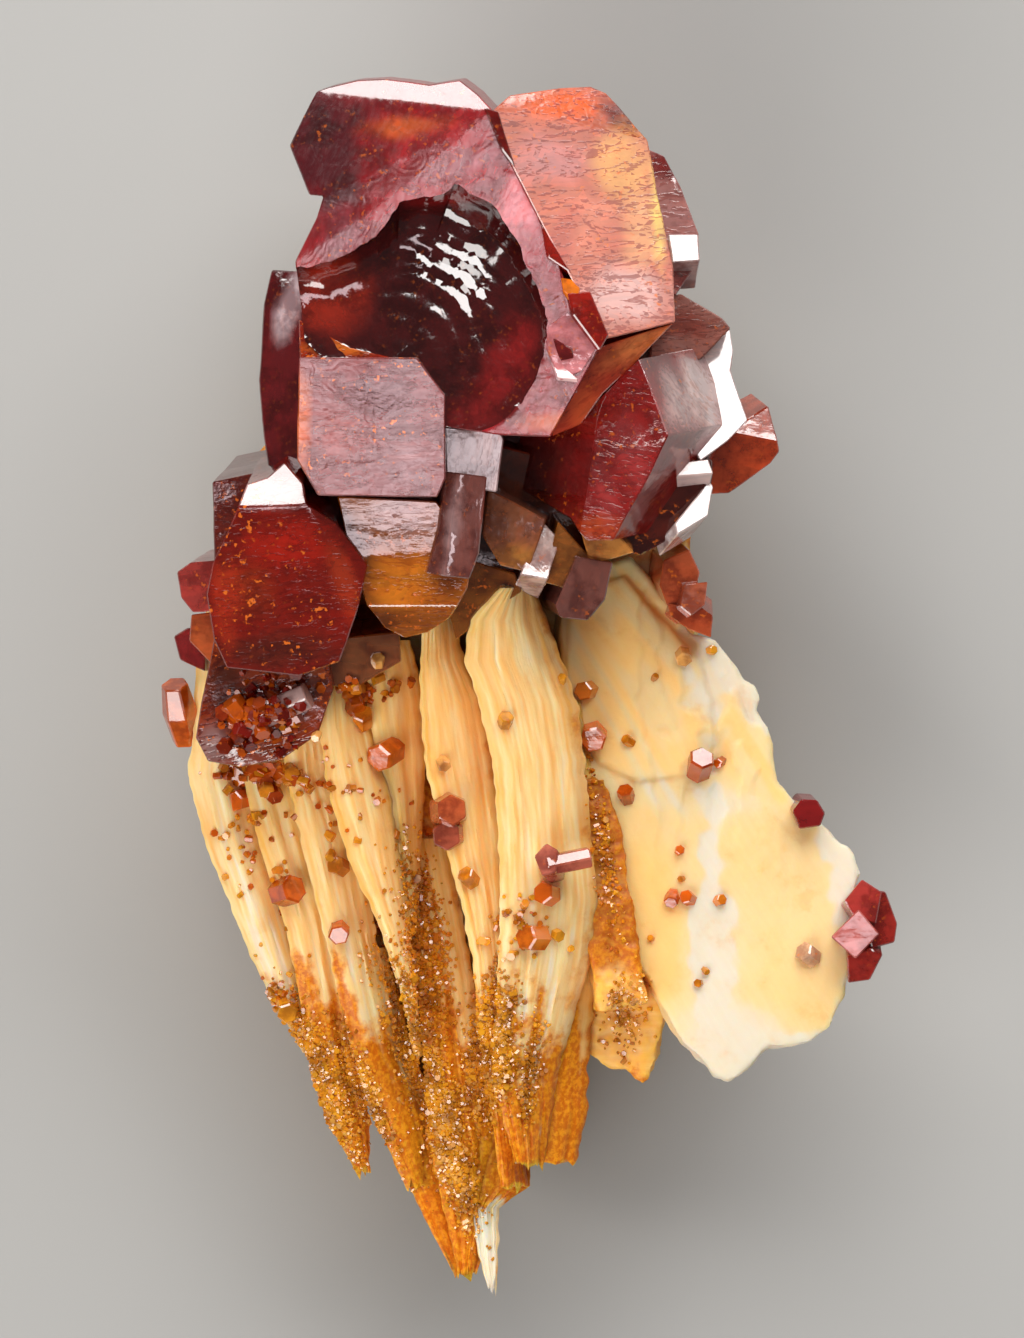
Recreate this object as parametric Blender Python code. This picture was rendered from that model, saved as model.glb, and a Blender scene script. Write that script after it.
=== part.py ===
"""Vanadinite on matrix: red hexagonal crystals on a fan of cream barite blades.

The specimen lies on its back. X runs to its right, Y towards the giant crystal at its top and Z up from
the face it rests on. Outlines are given as columns and rows of a picture of its front, 1024 by 1338
pixels, and heights above the rest face in millimetres. Run it with: blender --background --python part.py
"""

import math
import random
from dataclasses import dataclass

import bmesh
import bpy
from mathutils import Matrix, Vector
from mathutils.bvhtree import BVHTree

# Driving dimensions
SPECIMEN_TALL = 0.045
TOP_ROW, BOTTOM_ROW = 85, 1293
PIXEL = SPECIMEN_TALL / (BOTTOM_ROW - TOP_ROW)
CENTRE_COLUMN, CENTRE_ROW = 530, 689
MM = 0.001
GAP = 0.0003
# The least divisor where an outline's corner is moved out, so that a sharp one doesn't shoot away
SHARPEST = 0.35
# Points nearer than this are one, in metres
SAME_POINT = 5e-7
SEED = 11

COLLECTION = "vanadinite_on_matrix"
TOOLS = "cutters"


@dataclass(frozen=True)
class Crystal:
    """A prism seen on its end face.

    face is that face's outline in picture points and height the height of its middle. facing is the
    way the face looks, run the way the prism's sides go where that differs, length the prism's length
    in mm and narrowing the size of its far end. A bevel is a line across the face, from one picture
    point to another: the part on its left is turned down by so many degrees.
    """

    face: tuple
    height: float
    facing: tuple
    length: float
    run: tuple = ()
    narrowing: float = 1.0
    bevels: tuple = ()


@dataclass(frozen=True)
class Bar:
    """A hexagonal prism between two points (column, row, height), with its radius in pixels."""

    foot: tuple
    head: tuple
    radius: float
    turn: float = 0.0
    barrel: float = 1.0


@dataclass(frozen=True)
class Blade:
    """A barite blade that runs down the picture.

    runs are its (row, left column, right column) from its root to its tip, root and tip the heights of
    its left edge there, slope how far its right edge lies below its left one, and ribs the number of
    fibre ridges along it.
    """

    runs: tuple
    root: float
    tip: float
    slope: float
    ribs: int


# The giant tabular crystal, the block grown on its right and the slanting face under both
GIANT_CRYSTALS = {
    "giant": Crystal(
        face=(
            (318, 97), (291, 151), (311, 200), (325, 201), (318, 222), (297, 265), (301, 300), (306, 345),
            (380, 410), (445, 429), (500, 437), (550, 439), (575, 395), (598, 352), (567, 290), (545, 235),
            (512, 170), (493, 116),
        ),
        height=17.9,
        facing=(-0.02, -0.045, 1.0),
        length=10.6,
    ),
    "block": Crystal(
        face=(
            (493, 116), (603, 97), (625, 118), (647, 143), (655, 190), (672, 270), (674, 325), (605, 342),
            (580, 300), (545, 235), (512, 170),
        ),
        height=16.8,
        facing=(0.38, 0.15, 0.91),
        run=(0.06, 0.05, 1.0),
        length=9.4,
        narrowing=0.88,
        bevels=(((500, 122), (647, 146), 34),),
    ),
    "foot": Crystal(
        face=((598, 350), (672, 326), (642, 358), (602, 396), (581, 426), (552, 438), (560, 380)),
        height=16.2,
        facing=(0.30, -0.50, 0.81),
        run=(0.02, -0.10, 1.0),
        length=7.0,
    ),
}
HOLLOW = Crystal(
    face=(
        (240, 276), (330, 267), (362, 250), (385, 232), (401, 205), (440, 199), (461, 188), (487, 204),
        (502, 224), (515, 240), (540, 300), (549, 325), (545, 350), (528, 398), (496, 428), (440, 440),
        (340, 450), (240, 420),
    ),
    height=18.4,
    facing=(0.0, 0.0, 1.0),
    run=(0.10, 0.12, 1.0),
    length=5.2,
    narrowing=0.42,
)

LEFT_CRYSTALS = {
    "tall": Crystal(
        face=(
            (272, 270), (264, 305), (259, 380), (262, 420), (268, 466), (296, 472), (320, 460), (320, 300),
            (298, 271),
        ),
        height=12.8,
        facing=(-0.45, 0.06, 0.89),
        run=(-0.12, 0.02, 1.0),
        length=6.2,
        bevels=(((272, 270), (300, 352), 42),),
    ),
    "square_faced": Crystal(
        face=((301, 360), (418, 361), (446, 398), (446, 480), (438, 499), (320, 497), (299, 462)),
        height=17.4,
        facing=(-0.02, -0.13, 0.99),
        length=8.0,
    ),
    "behind_its_corner": Crystal(
        face=((405, 353), (446, 357), (450, 430), (400, 430)),
        height=16.2,
        facing=(0.05, -0.05, 1.0),
        length=6.0,
    ),
    "orange_floor": Crystal(
        face=((301, 318), (380, 318), (440, 372), (440, 420), (303, 420)),
        height=15.2,
        facing=(-0.10, 0.35, 0.93),
        run=(0.0, 0.06, 1.0),
        length=7.0,
    ),
    "amber": Crystal(
        face=(
            (338, 498), (437, 503), (474, 556), (468, 588), (450, 620), (428, 637), (405, 643), (385, 631),
            (368, 606), (352, 560),
        ),
        height=14.9,
        facing=(0.0, -0.16, 0.98),
        length=7.5,
        narrowing=0.85,
        bevels=(((352, 537), (474, 545), 38), ((470, 606), (360, 610), 34)),
    ),
    "grey_square": Crystal(
        face=((445, 428), (500, 434), (504, 440), (497, 493), (487, 492), (447, 485)),
        height=15.6,
        facing=(0.08, 0.10, 0.99),
        length=7.0,
    ),
    "elongated": Crystal(
        face=((447, 473), (487, 478), (483, 520), (479, 555), (470, 580), (428, 575), (440, 530)),
        height=16.0,
        facing=(0.10, -0.06, 0.99),
        length=6.5,
        bevels=(((444, 580), (459, 470), 46),),
    ),
    "red_hexagon": Crystal(
        face=(
            (240, 508), (248, 487), (268, 481), (285, 467), (304, 487), (308, 506), (338, 525), (369, 567),
            (358, 612), (340, 662), (300, 676), (228, 668), (215, 640), (208, 595), (214, 565),
        ),
        height=15.6,
        facing=(-0.03, -0.10, 0.99),
        length=8.0,
        narrowing=0.92,
        bevels=(((230, 509), (330, 506), 48), ((308, 500), (372, 600), 20)),
    ),
    "dark_behind_hexagon": Crystal(
        face=((212, 482), (268, 470), (300, 490), (270, 580), (214, 562)),
        height=12.2,
        facing=(-0.12, -0.16, 0.98),
        length=6.5,
    ),
    "dark_mass": Crystal(
        face=(
            (214, 640), (325, 640), (334, 690), (318, 735), (280, 764), (238, 772), (206, 765), (196, 738),
            (202, 700),
        ),
        height=12.9,
        facing=(-0.10, -0.22, 0.97),
        length=5.2,
        narrowing=0.9,
        bevels=(((330, 735), (196, 742), 30),),
    ),
    "rim_upper": Crystal(
        face=((176, 572), (190, 562), (216, 560), (216, 612), (192, 613), (180, 598)),
        height=11.4,
        facing=(-0.16, -0.12, 0.98),
        length=4.2,
    ),
    "rim_middle": Crystal(
        face=((190, 614), (222, 610), (226, 650), (210, 664), (188, 641)),
        height=10.9,
        facing=(-0.20, 0.05, 0.98),
        length=3.4,
    ),
    "rim_lower": Crystal(
        face=((172, 636), (187, 627), (204, 640), (204, 672), (178, 660)),
        height=9.8,
        facing=(-0.25, 0.0, 0.97),
        length=2.6,
    ),
    "brown_mass": Crystal(
        face=((322, 640), (400, 632), (402, 662), (352, 690), (320, 684)),
        height=12.4,
        facing=(0.05, -0.25, 0.96),
        length=4.6,
    ),
    "striated_bar": Bar(foot=(243, 723, 12.9), head=(309, 695, 13.6), radius=15, turn=10),
}
RIGHT_CRYSTALS = {
    "large": Crystal(
        face=(
            (638, 360), (650, 390), (667, 437), (648, 477), (612, 541), (586, 541), (566, 519), (497, 491),
            (500, 438), (552, 436), (600, 398),
        ),
        height=15.2,
        facing=(-0.42, -0.09, 0.90),
        length=5.6,
        bevels=(((578, 545), (606, 390), 24),),
    ),
    "behind_block": Crystal(
        face=((640, 145), (665, 155), (681, 186), (699, 233), (700, 261), (676, 296), (650, 280)),
        height=11.6,
        facing=(0.22, 0.16, 0.96),
        length=6.0,
    ),
    "behind_large_upper": Crystal(
        face=((655, 300), (681, 293), (722, 318), (731, 328), (700, 360), (650, 360)),
        height=11.9,
        facing=(0.10, 0.28, 0.95),
        length=5.6,
    ),
    "behind_large_right": Crystal(
        face=(
            (690, 345), (731, 328), (734, 350), (731, 370), (748, 420), (728, 441), (700, 462), (680, 420),
        ),
        height=11.0,
        facing=(0.42, 0.16, 0.90),
        run=(0.20, 0.08, 1.0),
        length=4.8,
    ),
    "under_striated_side": Crystal(
        face=(
            (640, 466), (712, 460), (713, 486), (708, 516), (677, 535), (640, 556), (612, 548), (600, 500),
        ),
        height=12.6,
        facing=(0.10, -0.14, 0.98),
        length=6.0,
        bevels=(((712, 474), (672, 532), 46),),
    ),
    "rightmost": Crystal(
        face=((742, 424), (772, 408), (779, 440), (781, 451), (772, 463), (730, 493), (700, 494), (700, 450)),
        height=9.8,
        facing=(0.20, -0.20, 0.96),
        length=3.4,
        bevels=(((736, 432), (782, 443), 38),),
    ),
}
MIDDLE_CRYSTALS = {
    "brown_left": Crystal(
        face=((488, 490), (546, 520), (528, 573), (500, 566), (482, 535)),
        height=14.2,
        facing=(-0.15, -0.14, 0.97),
        length=5.5,
    ),
    "brown_middle": Crystal(
        face=((540, 519), (560, 540), (548, 580), (520, 575)),
        height=14.0,
        facing=(0.12, 0.25, 0.95),
        length=5.0,
    ),
    "brown_right": Crystal(
        face=((558, 522), (592, 560), (576, 592), (543, 583)),
        height=13.7,
        facing=(0.10, -0.20, 0.97),
        length=5.0,
    ),
    "grey_prism": Crystal(
        face=((576, 556), (613, 563), (605, 600), (588, 621), (560, 618), (555, 606)),
        height=13.9,
        facing=(0.12, -0.08, 0.98),
        length=5.0,
    ),
    "over_the_blades": Crystal(
        face=((440, 575), (470, 560), (515, 574), (522, 592), (480, 622), (456, 640)),
        height=12.8,
        facing=(0.05, -0.20, 0.97),
        length=4.6,
    ),
    "amber_tip": Crystal(
        face=((580, 530), (613, 530), (634, 553), (590, 566)),
        height=13.9,
        facing=(0.05, -0.30, 0.95),
        length=4.6,
    ),
}

# Crystals behind the front ones, which tie them together
CARRYING_CRYSTALS = {
    "lower": Crystal(
        face=((330, 470), (470, 440), (600, 470), (600, 560), (480, 590), (330, 590)),
        height=12.0,
        facing=(0.0, -0.10, 1.0),
        length=6.0,
    ),
    "upper": Crystal(
        face=((300, 300), (420, 240), (620, 240), (660, 330), (640, 460), (420, 480), (290, 440)),
        height=11.0,
        facing=(0.05, 0.08, 1.0),
        length=5.6,
    ),
}
SHOULDER_CRYSTALS = {
    "upper": Crystal(
        face=((664, 560), (690, 549), (701, 572), (692, 612), (668, 606), (660, 585)),
        height=9.8,
        facing=(0.15, -0.15, 0.97),
        length=3.0,
    ),
    "right": Crystal(
        face=((684, 584), (709, 581), (706, 605), (692, 616), (680, 606)),
        height=10.1,
        facing=(0.25, 0.15, 0.95),
        length=2.6,
    ),
    "lower": Crystal(
        face=((668, 604), (700, 606), (714, 616), (712, 638), (690, 630), (672, 618)),
        height=9.7,
        facing=(0.0, -0.25, 0.96),
        length=2.5,
    ),
}
PLATE_EDGE_CLUSTER = {
    "square_faced": Crystal(
        face=((832, 938), (860, 910), (881, 935), (857, 960)),
        height=9.6,
        facing=(-0.05, 0.02, 1.0),
        length=2.7,
    ),
    "upper": Crystal(
        face=((846, 902), (864, 880), (884, 893), (878, 925), (856, 918)),
        height=9.0,
        facing=(0.10, 0.35, 0.93),
        length=2.4,
    ),
    "right": Crystal(
        face=((872, 890), (888, 893), (900, 925), (897, 944), (874, 950), (866, 920)),
        height=8.7,
        facing=(0.45, 0.0, 0.89),
        run=(0.15, 0.0, 1.0),
        length=2.3,
    ),
    "lower": Crystal(
        face=((849, 958), (872, 950), (885, 956), (872, 982), (850, 985)),
        height=8.8,
        facing=(0.05, -0.35, 0.93),
        length=2.1,
    ),
}
PLATE_EDGE_CRYSTAL = {
    "single": Crystal(
        face=((794, 812), (803, 800), (819, 801), (827, 814), (822, 827), (801, 830)),
        height=8.9,
        facing=(0.10, -0.12, 0.98),
        length=1.9,
    ),
}
BLADE_BAR = {
    "bar": Bar(foot=(546, 866, 11.75), head=(590, 857, 11.5), radius=11.5, turn=8),
    "beside_bar": Crystal(
        face=((534, 856), (546, 843), (558, 850), (556, 872), (542, 876)),
        height=12.0,
        facing=(-0.20, 0.20, 0.95),
        length=1.6,
    ),
}
BLADE_KNOB = {
    "upper": Bar(foot=(444, 812, 9.6), head=(452, 810, 11.8), radius=21, turn=20, barrel=0.75),
    "lower": Bar(foot=(452, 832, 9.6), head=(446, 836, 11.3), radius=19, turn=0, barrel=0.8),
}
LEFT_EDGE = {
    "barrel": Bar(foot=(184, 742, 7.9), head=(172, 684, 9.3), radius=17, turn=0, barrel=0.72),
}

# Single small crystals on the blades and the plate: column, row and width in pixels
SMALL_CRYSTALS = (
    (700, 768, 27), (630, 742, 11), (594, 735, 26), (588, 690, 18), (505, 722, 16), (549, 895, 24),
    (536, 938, 28), (283, 893, 30), (338, 932, 22), (339, 868, 20), (388, 752, 30), (362, 720, 22),
    (442, 762, 14), (378, 662, 14), (264, 786, 18), (627, 797, 17), (680, 852, 11), (673, 898, 15),
    (690, 900, 15), (720, 902, 12), (684, 655, 17), (812, 958, 21), (262, 992, 26), (285, 1012, 22),
    (240, 800, 22), (470, 880, 18),
)

# The small crystals' starting height above the surface, how far they lean and their length in radii
ABOVE_ALL, SMALL_LEAN, SMALL_LENGTH = 30, 0.6, 2.2

# The barite blades, from the left rim to the right and then the low ones
BLADES = (
    Blade(
        runs=(
            (640, 196, 245), (745, 190, 248), (775, 185, 252), (850, 205, 270), (900, 225, 282),
            (950, 245, 294), (1000, 268, 306), (1052, 300, 314),
        ),
        root=9.4,
        tip=6.6,
        slope=1.5,
        ribs=3,
    ),
    Blade(
        runs=(
            (690, 232, 292), (790, 244, 300), (850, 259, 316), (930, 284, 334), (1000, 298, 348),
            (1060, 306, 356), (1120, 322, 368), (1176, 358, 369),
        ),
        root=9.5,
        tip=6.8,
        slope=1.5,
        ribs=3,
    ),
    Blade(
        runs=(
            (680, 280, 330), (770, 284, 345), (850, 302, 362), (930, 322, 374), (1000, 338, 388),
            (1060, 354, 402), (1120, 372, 424), (1190, 405, 436),
        ),
        root=11.2,
        tip=7.2,
        slope=1.7,
        ribs=3,
    ),
    Blade(
        runs=(
            (660, 316, 366), (730, 318, 376), (800, 330, 394), (860, 348, 402), (930, 380, 410),
            (1000, 402, 417), (1056, 415, 421),
        ),
        root=12.0,
        tip=9.4,
        slope=1.9,
        ribs=3,
    ),
    Blade(
        runs=(
            (640, 366, 410), (700, 366, 424), (760, 376, 426), (820, 390, 422), (880, 398, 420),
            (932, 407, 417),
        ),
        root=11.5,
        tip=8.6,
        slope=1.9,
        ribs=2,
    ),
    Blade(
        runs=(
            (618, 424, 456), (660, 420, 464), (700, 420, 485), (760, 424, 497), (830, 440, 504),
            (900, 460, 508), (960, 472, 512), (1040, 480, 516), (1120, 492, 522), (1190, 500, 528),
        ),
        root=12.4,
        tip=8.6,
        slope=1.8,
        ribs=4,
    ),
    Blade(
        runs=(
            (588, 500, 534), (620, 470, 547), (660, 464, 562), (700, 478, 577), (760, 492, 585),
            (830, 498, 591), (900, 500, 598), (960, 498, 592), (1010, 496, 577), (1080, 492, 558),
            (1166, 515, 546),
        ),
        root=13.0,
        tip=9.2,
        slope=2.2,
        ribs=5,
    ),
    Blade(
        runs=(
            (700, 550, 592), (790, 566, 604), (900, 574, 610), (1000, 560, 596), (1060, 552, 589),
            (1120, 546, 588), (1166, 545, 577),
        ),
        root=9.6,
        tip=7.6,
        slope=1.1,
        ribs=3,
    ),
    Blade(
        runs=(
            (840, 396, 446), (940, 408, 466), (1020, 420, 480), (1100, 426, 496), (1150, 430, 512),
            (1200, 440, 500), (1250, 452, 486), (1278, 457, 476),
        ),
        root=7.6,
        tip=7.6,
        slope=0.7,
        ribs=4,
    ),
    Blade(
        runs=(
            (950, 340, 384), (1040, 358, 408), (1110, 371, 432), (1165, 395, 444), (1225, 425, 464),
            (1277, 452, 468),
        ),
        root=8.0,
        tip=6.6,
        slope=0.9,
        ribs=3,
    ),
    Blade(
        runs=(
            (1080, 468, 520), (1140, 470, 532), (1190, 470, 530), (1212, 471, 499), (1260, 478, 498),
            (1293, 488, 496),
        ),
        root=8.2,
        tip=7.6,
        slope=0.3,
        ribs=2,
    ),
)
BLADE_DEPTH = 6.5
TIP_DEPTH = 1.1
RIB_HEIGHT = 0.11
BLADE_STEP_ROWS = 42
FEWEST_SECTIONS = 5
TIP_RAGGED = 12
EDGE_RAGGED = 2.5
# A blade thins towards its tip and falls towards its right edge by these powers
THINNING, FALLING = 2.2, 1.6
# Its relief fades where it is narrower than this, in pixels
FULL_RELIEF_WIDTH = 30
RIB_CHANCE = (0.5, 1.2)
# The back of its section: how far in from the edges, in pixels or as a share of its width, and how deep
BACK_INSET_RIGHT, BACK_INSET_LEFT, BACK_SHARE = 2, 3, 0.25
BACK_DEPTH_RIGHT, BACK_DEPTH_LEFT = 0.55, 0.5

# The broad plate on the right, its two growth steps and the ochre flap under it
PLATE = (
    (560, 600), (613, 560), (632, 556), (652, 577), (692, 632), (715, 640), (730, 655), (745, 680),
    (757, 685), (762, 697), (758, 711), (770, 728), (776, 770), (783, 786), (800, 806), (825, 828),
    (845, 845),
    (857, 858), (861, 875), (858, 892), (856, 940), (850, 982), (845, 1001), (833, 1028), (815, 1043),
    (790, 1050), (771, 1048), (755, 1065), (742, 1079), (730, 1083), (718, 1078), (696, 1056), (684, 1045),
    (661, 1040), (620, 1030), (560, 1000),
)
PLATE_HEIGHT, PLATE_THICK, PLATE_RIM = 8.2, 1.3, 0.9
RIM_DROP = 0.45
PLATE_AXIS = (0.10, 0.03, 1.0)
UPPER_STEP = (
    (570, 590), (625, 575), (660, 615), (700, 660), (712, 700), (715, 745), (700, 775), (640, 782),
    (600, 765), (565, 700),
)
LOWER_STEP = (
    (560, 770), (622, 785), (655, 815), (690, 850), (688, 900), (684, 950), (680, 1000), (640, 1012),
    (570, 1000),
)
STEP_RISE, STEP_THICK = 0.65, 1.2
FLAP = (
    (575, 950), (640, 955), (668, 1015), (661, 1040), (658, 1062), (644, 1087), (628, 1071), (612, 1073),
    (590, 1060), (578, 1050),
)
FLAP_HEIGHT, FLAP_THICK = 7.3, 1.3
FLAP_AXIS = (-0.12, -0.10, 1.0)
STRIP = ((582, 780), (606, 778), (622, 830), (632, 900), (640, 960), (650, 1005), (600, 1012), (580, 900))
STRIP_HEIGHT, STRIP_THICK = 9.2, 2.4

# The root: slabs of barite behind the crystals and under the blades
ROOT = (
    (250, 660), (262, 540), (318, 380), (400, 268), (560, 250), (632, 330), (668, 500), (690, 700),
    (672, 880), (600, 1000), (500, 1110), (420, 1090), (330, 980), (262, 830),
)
ROOT_TOP, REST_SHARE = 2.6, 0.93
# Each slab: its outline, the height of its top and its thickness
SLABS = (
    (
        (
            (214, 690), (210, 600), (250, 500), (300, 380), (350, 290), (470, 250), (500, 700), (480, 1150),
            (400, 1120), (300, 980), (222, 800),
        ),
        4.4,
        2.3,
    ),
    (
        (
            (420, 262), (560, 232), (636, 290), (684, 420), (686, 560), (716, 690), (738, 780), (706, 900),
            (640, 980), (560, 1060), (470, 1120),
        ),
        5.2,
        2.9,
    ),
    (((338, 262), (430, 240), (468, 600), (470, 900), (390, 960), (310, 720)), 7.0, 3.4),
    (((480, 236), (600, 262), (652, 500), (640, 860), (530, 1010), (470, 700)), 7.5, 3.8),
    (((240, 560), (330, 400), (420, 640), (410, 1010), (310, 930)), 6.2, 2.8),
)
RAGGED = 11


def at(column, row, height):
    """The place of a picture point at a height in millimetres."""
    return Vector(((column - CENTRE_COLUMN) * PIXEL, (CENTRE_ROW - row) * PIXEL, height * MM))


def set_collection(name):
    """A new collection in the scene."""
    collection = bpy.data.collections.new(name)
    bpy.context.scene.collection.children.link(collection)
    return collection


def add_object(name, bm, collection):
    """A mesh object made from bm, its faces pointing outwards."""
    bmesh.ops.recalc_face_normals(bm, faces=bm.faces)
    mesh = bpy.data.meshes.new(name)
    bm.to_mesh(mesh)
    bm.free()
    body = bpy.data.objects.new(name, mesh)
    bpy.data.collections[collection].objects.link(body)
    return body


def spread(outline, reach):
    """The flat outline with each edge moved out by reach."""
    area = sum(a.x * b.y - b.x * a.y for a, b in zip(outline, outline[1:] + outline[:1]))
    side = 1 if area > 0 else -1
    moved = []
    for index, corner in enumerate(outline):
        into = (corner - outline[index - 1]).normalized()
        out = (outline[(index + 1) % len(outline)] - corner).normalized()
        into_normal = Vector((into.y, -into.x, 0)) * side
        out_normal = Vector((out.y, -out.x, 0)) * side
        share = max(SHARPEST, 1 + into_normal.dot(out_normal))
        moved.append(corner + (into_normal + out_normal) * (reach / share))
    return moved


def lift(facing, away):
    """How far a plane that looks along facing rises from one point to another, away from it."""
    return -(facing.x * away.x + facing.y * away.y) / facing.z


def prism(face, height, facing, length, run=(), narrowing=1.0, reach=0.0):
    """A prism as a bmesh: its end face's outline laid on its plane, then extruded."""
    facing = Vector(facing).normalized()
    back = -Vector(run).normalized() if run else -facing
    flat = [at(column, row, 0) for column, row in face]
    middle = sum(flat, Vector()) / len(flat)
    if reach:
        flat = spread(flat, reach)
    bm = bmesh.new()
    corners = []
    for point in flat:
        corners.append(bm.verts.new((point.x, point.y, height * MM + lift(facing, point - middle))))
    bm.faces.new(corners)
    bmesh.ops.translate(bm, verts=bm.verts, vec=facing * reach)
    grown = bmesh.ops.extrude_face_region(bm, geom=list(bm.faces))
    far = [part for part in grown["geom"] if isinstance(part, bmesh.types.BMVert)]
    bmesh.ops.translate(bm, verts=far, vec=back * (length * MM + 2 * reach))
    centre = sum((vert.co for vert in far), Vector()) / len(far)
    bmesh.ops.scale(bm, verts=far, vec=(narrowing,) * 3, space=Matrix.Translation(-centre))
    bmesh.ops.recalc_face_normals(bm, faces=bm.faces)
    return bm


def cut(bm, point, direction):
    """Cuts away what lies beyond the plane and closes the cut."""
    geometry = list(bm.verts) + list(bm.edges) + list(bm.faces)
    made = bmesh.ops.bisect_plane(
        bm, geom=geometry, plane_co=point, plane_no=direction, clear_outer=True, dist=1e-7
    )
    edges = [part for part in made["geom_cut"] if isinstance(part, bmesh.types.BMEdge)]
    if edges:
        bmesh.ops.edgeloop_fill(bm, edges=edges)


def crystal_mesh(crystal, reach=0.0):
    """The bmesh of a Crystal or a Bar, each face moved out by reach."""
    if isinstance(crystal, Bar):
        return bar_mesh(crystal, reach)
    bm = prism(
        crystal.face, crystal.height, crystal.facing, crystal.length, crystal.run, crystal.narrowing, reach
    )
    facing = Vector(crystal.facing).normalized()
    middle = sum((at(*point, 0) for point in crystal.face), Vector()) / len(crystal.face)
    for start, end, degrees in crystal.bevels:
        first, second = at(*start, crystal.height), at(*end, crystal.height)
        first.z += lift(facing, first - middle)
        second.z += lift(facing, second - middle)
        turned = Matrix.Rotation(-math.radians(degrees), 3, second - first) @ facing
        cut(bm, first + turned * reach, turned)
    return bm


def bar_mesh(bar, reach=0.0):
    """The bmesh of a hexagonal prism between a foot and a head; a barrel under 1 narrows both ends."""
    foot, head = at(*bar.foot), at(*bar.head)
    axis = head - foot
    radius = bar.radius * PIXEL + reach
    bm = bmesh.new()
    bmesh.ops.create_cone(
        bm, cap_ends=True, segments=6, radius1=radius, radius2=radius, depth=axis.length + 2 * reach
    )
    if bar.barrel < 1:
        sides = [edge for edge in bm.edges if abs(edge.verts[0].co.z - edge.verts[1].co.z) > reach]
        bmesh.ops.subdivide_edges(bm, edges=sides, cuts=1)
        for vert in bm.verts:
            if abs(vert.co.z) > radius * 0.1:
                vert.co.xy = vert.co.xy * bar.barrel
    place = Matrix.Translation((foot + head) / 2) @ axis.to_track_quat("Z", "Y").to_matrix().to_4x4()
    bmesh.ops.transform(bm, matrix=place @ Matrix.Rotation(math.radians(bar.turn), 4, "Z"), verts=bm.verts)
    return bm


def combine(target, tool, operation):
    """Applies an exact Boolean of target with tool, which is removed."""
    boolean = target.modifiers.new(operation.title(), "BOOLEAN")
    boolean.operation = operation
    boolean.solver = "EXACT"
    boolean.object = tool
    graph = bpy.context.evaluated_depsgraph_get()
    mesh = bpy.data.meshes.new_from_object(target.evaluated_get(graph))
    target.modifiers.clear()
    target.data = mesh
    bpy.data.objects.remove(tool)


def join_crystals(name, crystals):
    """One solid that joins the crystals; the hollow is broken out of the giant one before the rest."""
    first, *others = crystals
    body = add_object(name, crystal_mesh(first), COLLECTION)
    if first is GIANT_CRYSTALS["giant"]:
        combine(body, add_object("hollow", crystal_mesh(HOLLOW), TOOLS), "DIFFERENCE")
    for crystal in others:
        combine(body, add_object("joined", crystal_mesh(crystal), TOOLS), "UNION")
    keep_largest(body)
    return body


def seat(body, crystals):
    """Cuts room for the crystals out of body, with the gap that pieces keep."""
    for crystal in crystals:
        combine(body, add_object("seat", crystal_mesh(crystal, GAP), TOOLS), "DIFFERENCE")


def interpolate(runs, row):
    """The left and right columns of a blade at a row."""
    for (row_0, left_0, right_0), (row_1, left_1, right_1) in zip(runs, runs[1:]):
        if row <= row_1:
            share = (row - row_0) / (row_1 - row_0)
            return left_0 + (left_1 - left_0) * share, right_0 + (right_1 - right_0) * share
    return runs[-1][1:]


def blade_section(blade, row, chance):
    """The points around a blade's section at a row: its ribbed front, then its flat back."""
    first, last = blade.runs[0][0], blade.runs[-1][0]
    down = (row - first) / (last - first)
    left, right = interpolate(blade.runs, row)
    ragged = min(EDGE_RAGGED, (right - left) / 8)
    left += chance.uniform(-ragged, ragged)
    right += chance.uniform(-ragged, ragged)
    width = right - left
    front = blade.root + (blade.tip - blade.root) * down
    depth = TIP_DEPTH + (BLADE_DEPTH - TIP_DEPTH) * (1 - down**THINNING)
    narrow = min(1.0, width / FULL_RELIEF_WIDTH)
    points = []
    for step in range(2 * blade.ribs + 1):
        share = step / (2 * blade.ribs)
        rib = (RIB_HEIGHT if step % 2 == 0 else -RIB_HEIGHT) * narrow * chance.uniform(*RIB_CHANCE)
        fall = blade.slope * share**FALLING * narrow
        points.append(at(left + width * share, row, front - fall + rib))
    points.append(at(right - BACK_INSET_RIGHT, row, front - blade.slope * narrow - depth * BACK_DEPTH_RIGHT))
    points.append(at(right - width * BACK_SHARE, row, front - depth))
    points.append(at(left + width * BACK_SHARE, row, front - depth))
    points.append(at(left + BACK_INSET_LEFT * narrow, row, front - depth * BACK_DEPTH_LEFT))
    return points


def blade_object(blade, chance):
    """A blade: sections down its length, bridged and closed at both ends."""
    first, last = blade.runs[0][0], blade.runs[-1][0]
    count = max(FEWEST_SECTIONS, round((last - first) / BLADE_STEP_ROWS))
    bm = bmesh.new()
    rings = []
    for index in range(count + 1):
        row = first + (last - first) * index / count
        rings.append([bm.verts.new(point) for point in blade_section(blade, row, chance)])
    for vert in rings[-1]:
        vert.co.y += chance.uniform(0, TIP_RAGGED) * PIXEL
    for upper, lower in zip(rings, rings[1:]):
        for index in range(len(upper)):
            following = (index + 1) % len(upper)
            bm.faces.new((upper[index], upper[following], lower[following], lower[index]))
    bm.faces.new(rings[0])
    tip = bm.faces.new(rings[-1])
    bmesh.ops.poke(bm, faces=[tip])
    bm.normal_update()
    bmesh.ops.triangulate(bm, faces=bm.faces)
    return add_object("blade", bm, TOOLS)


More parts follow.
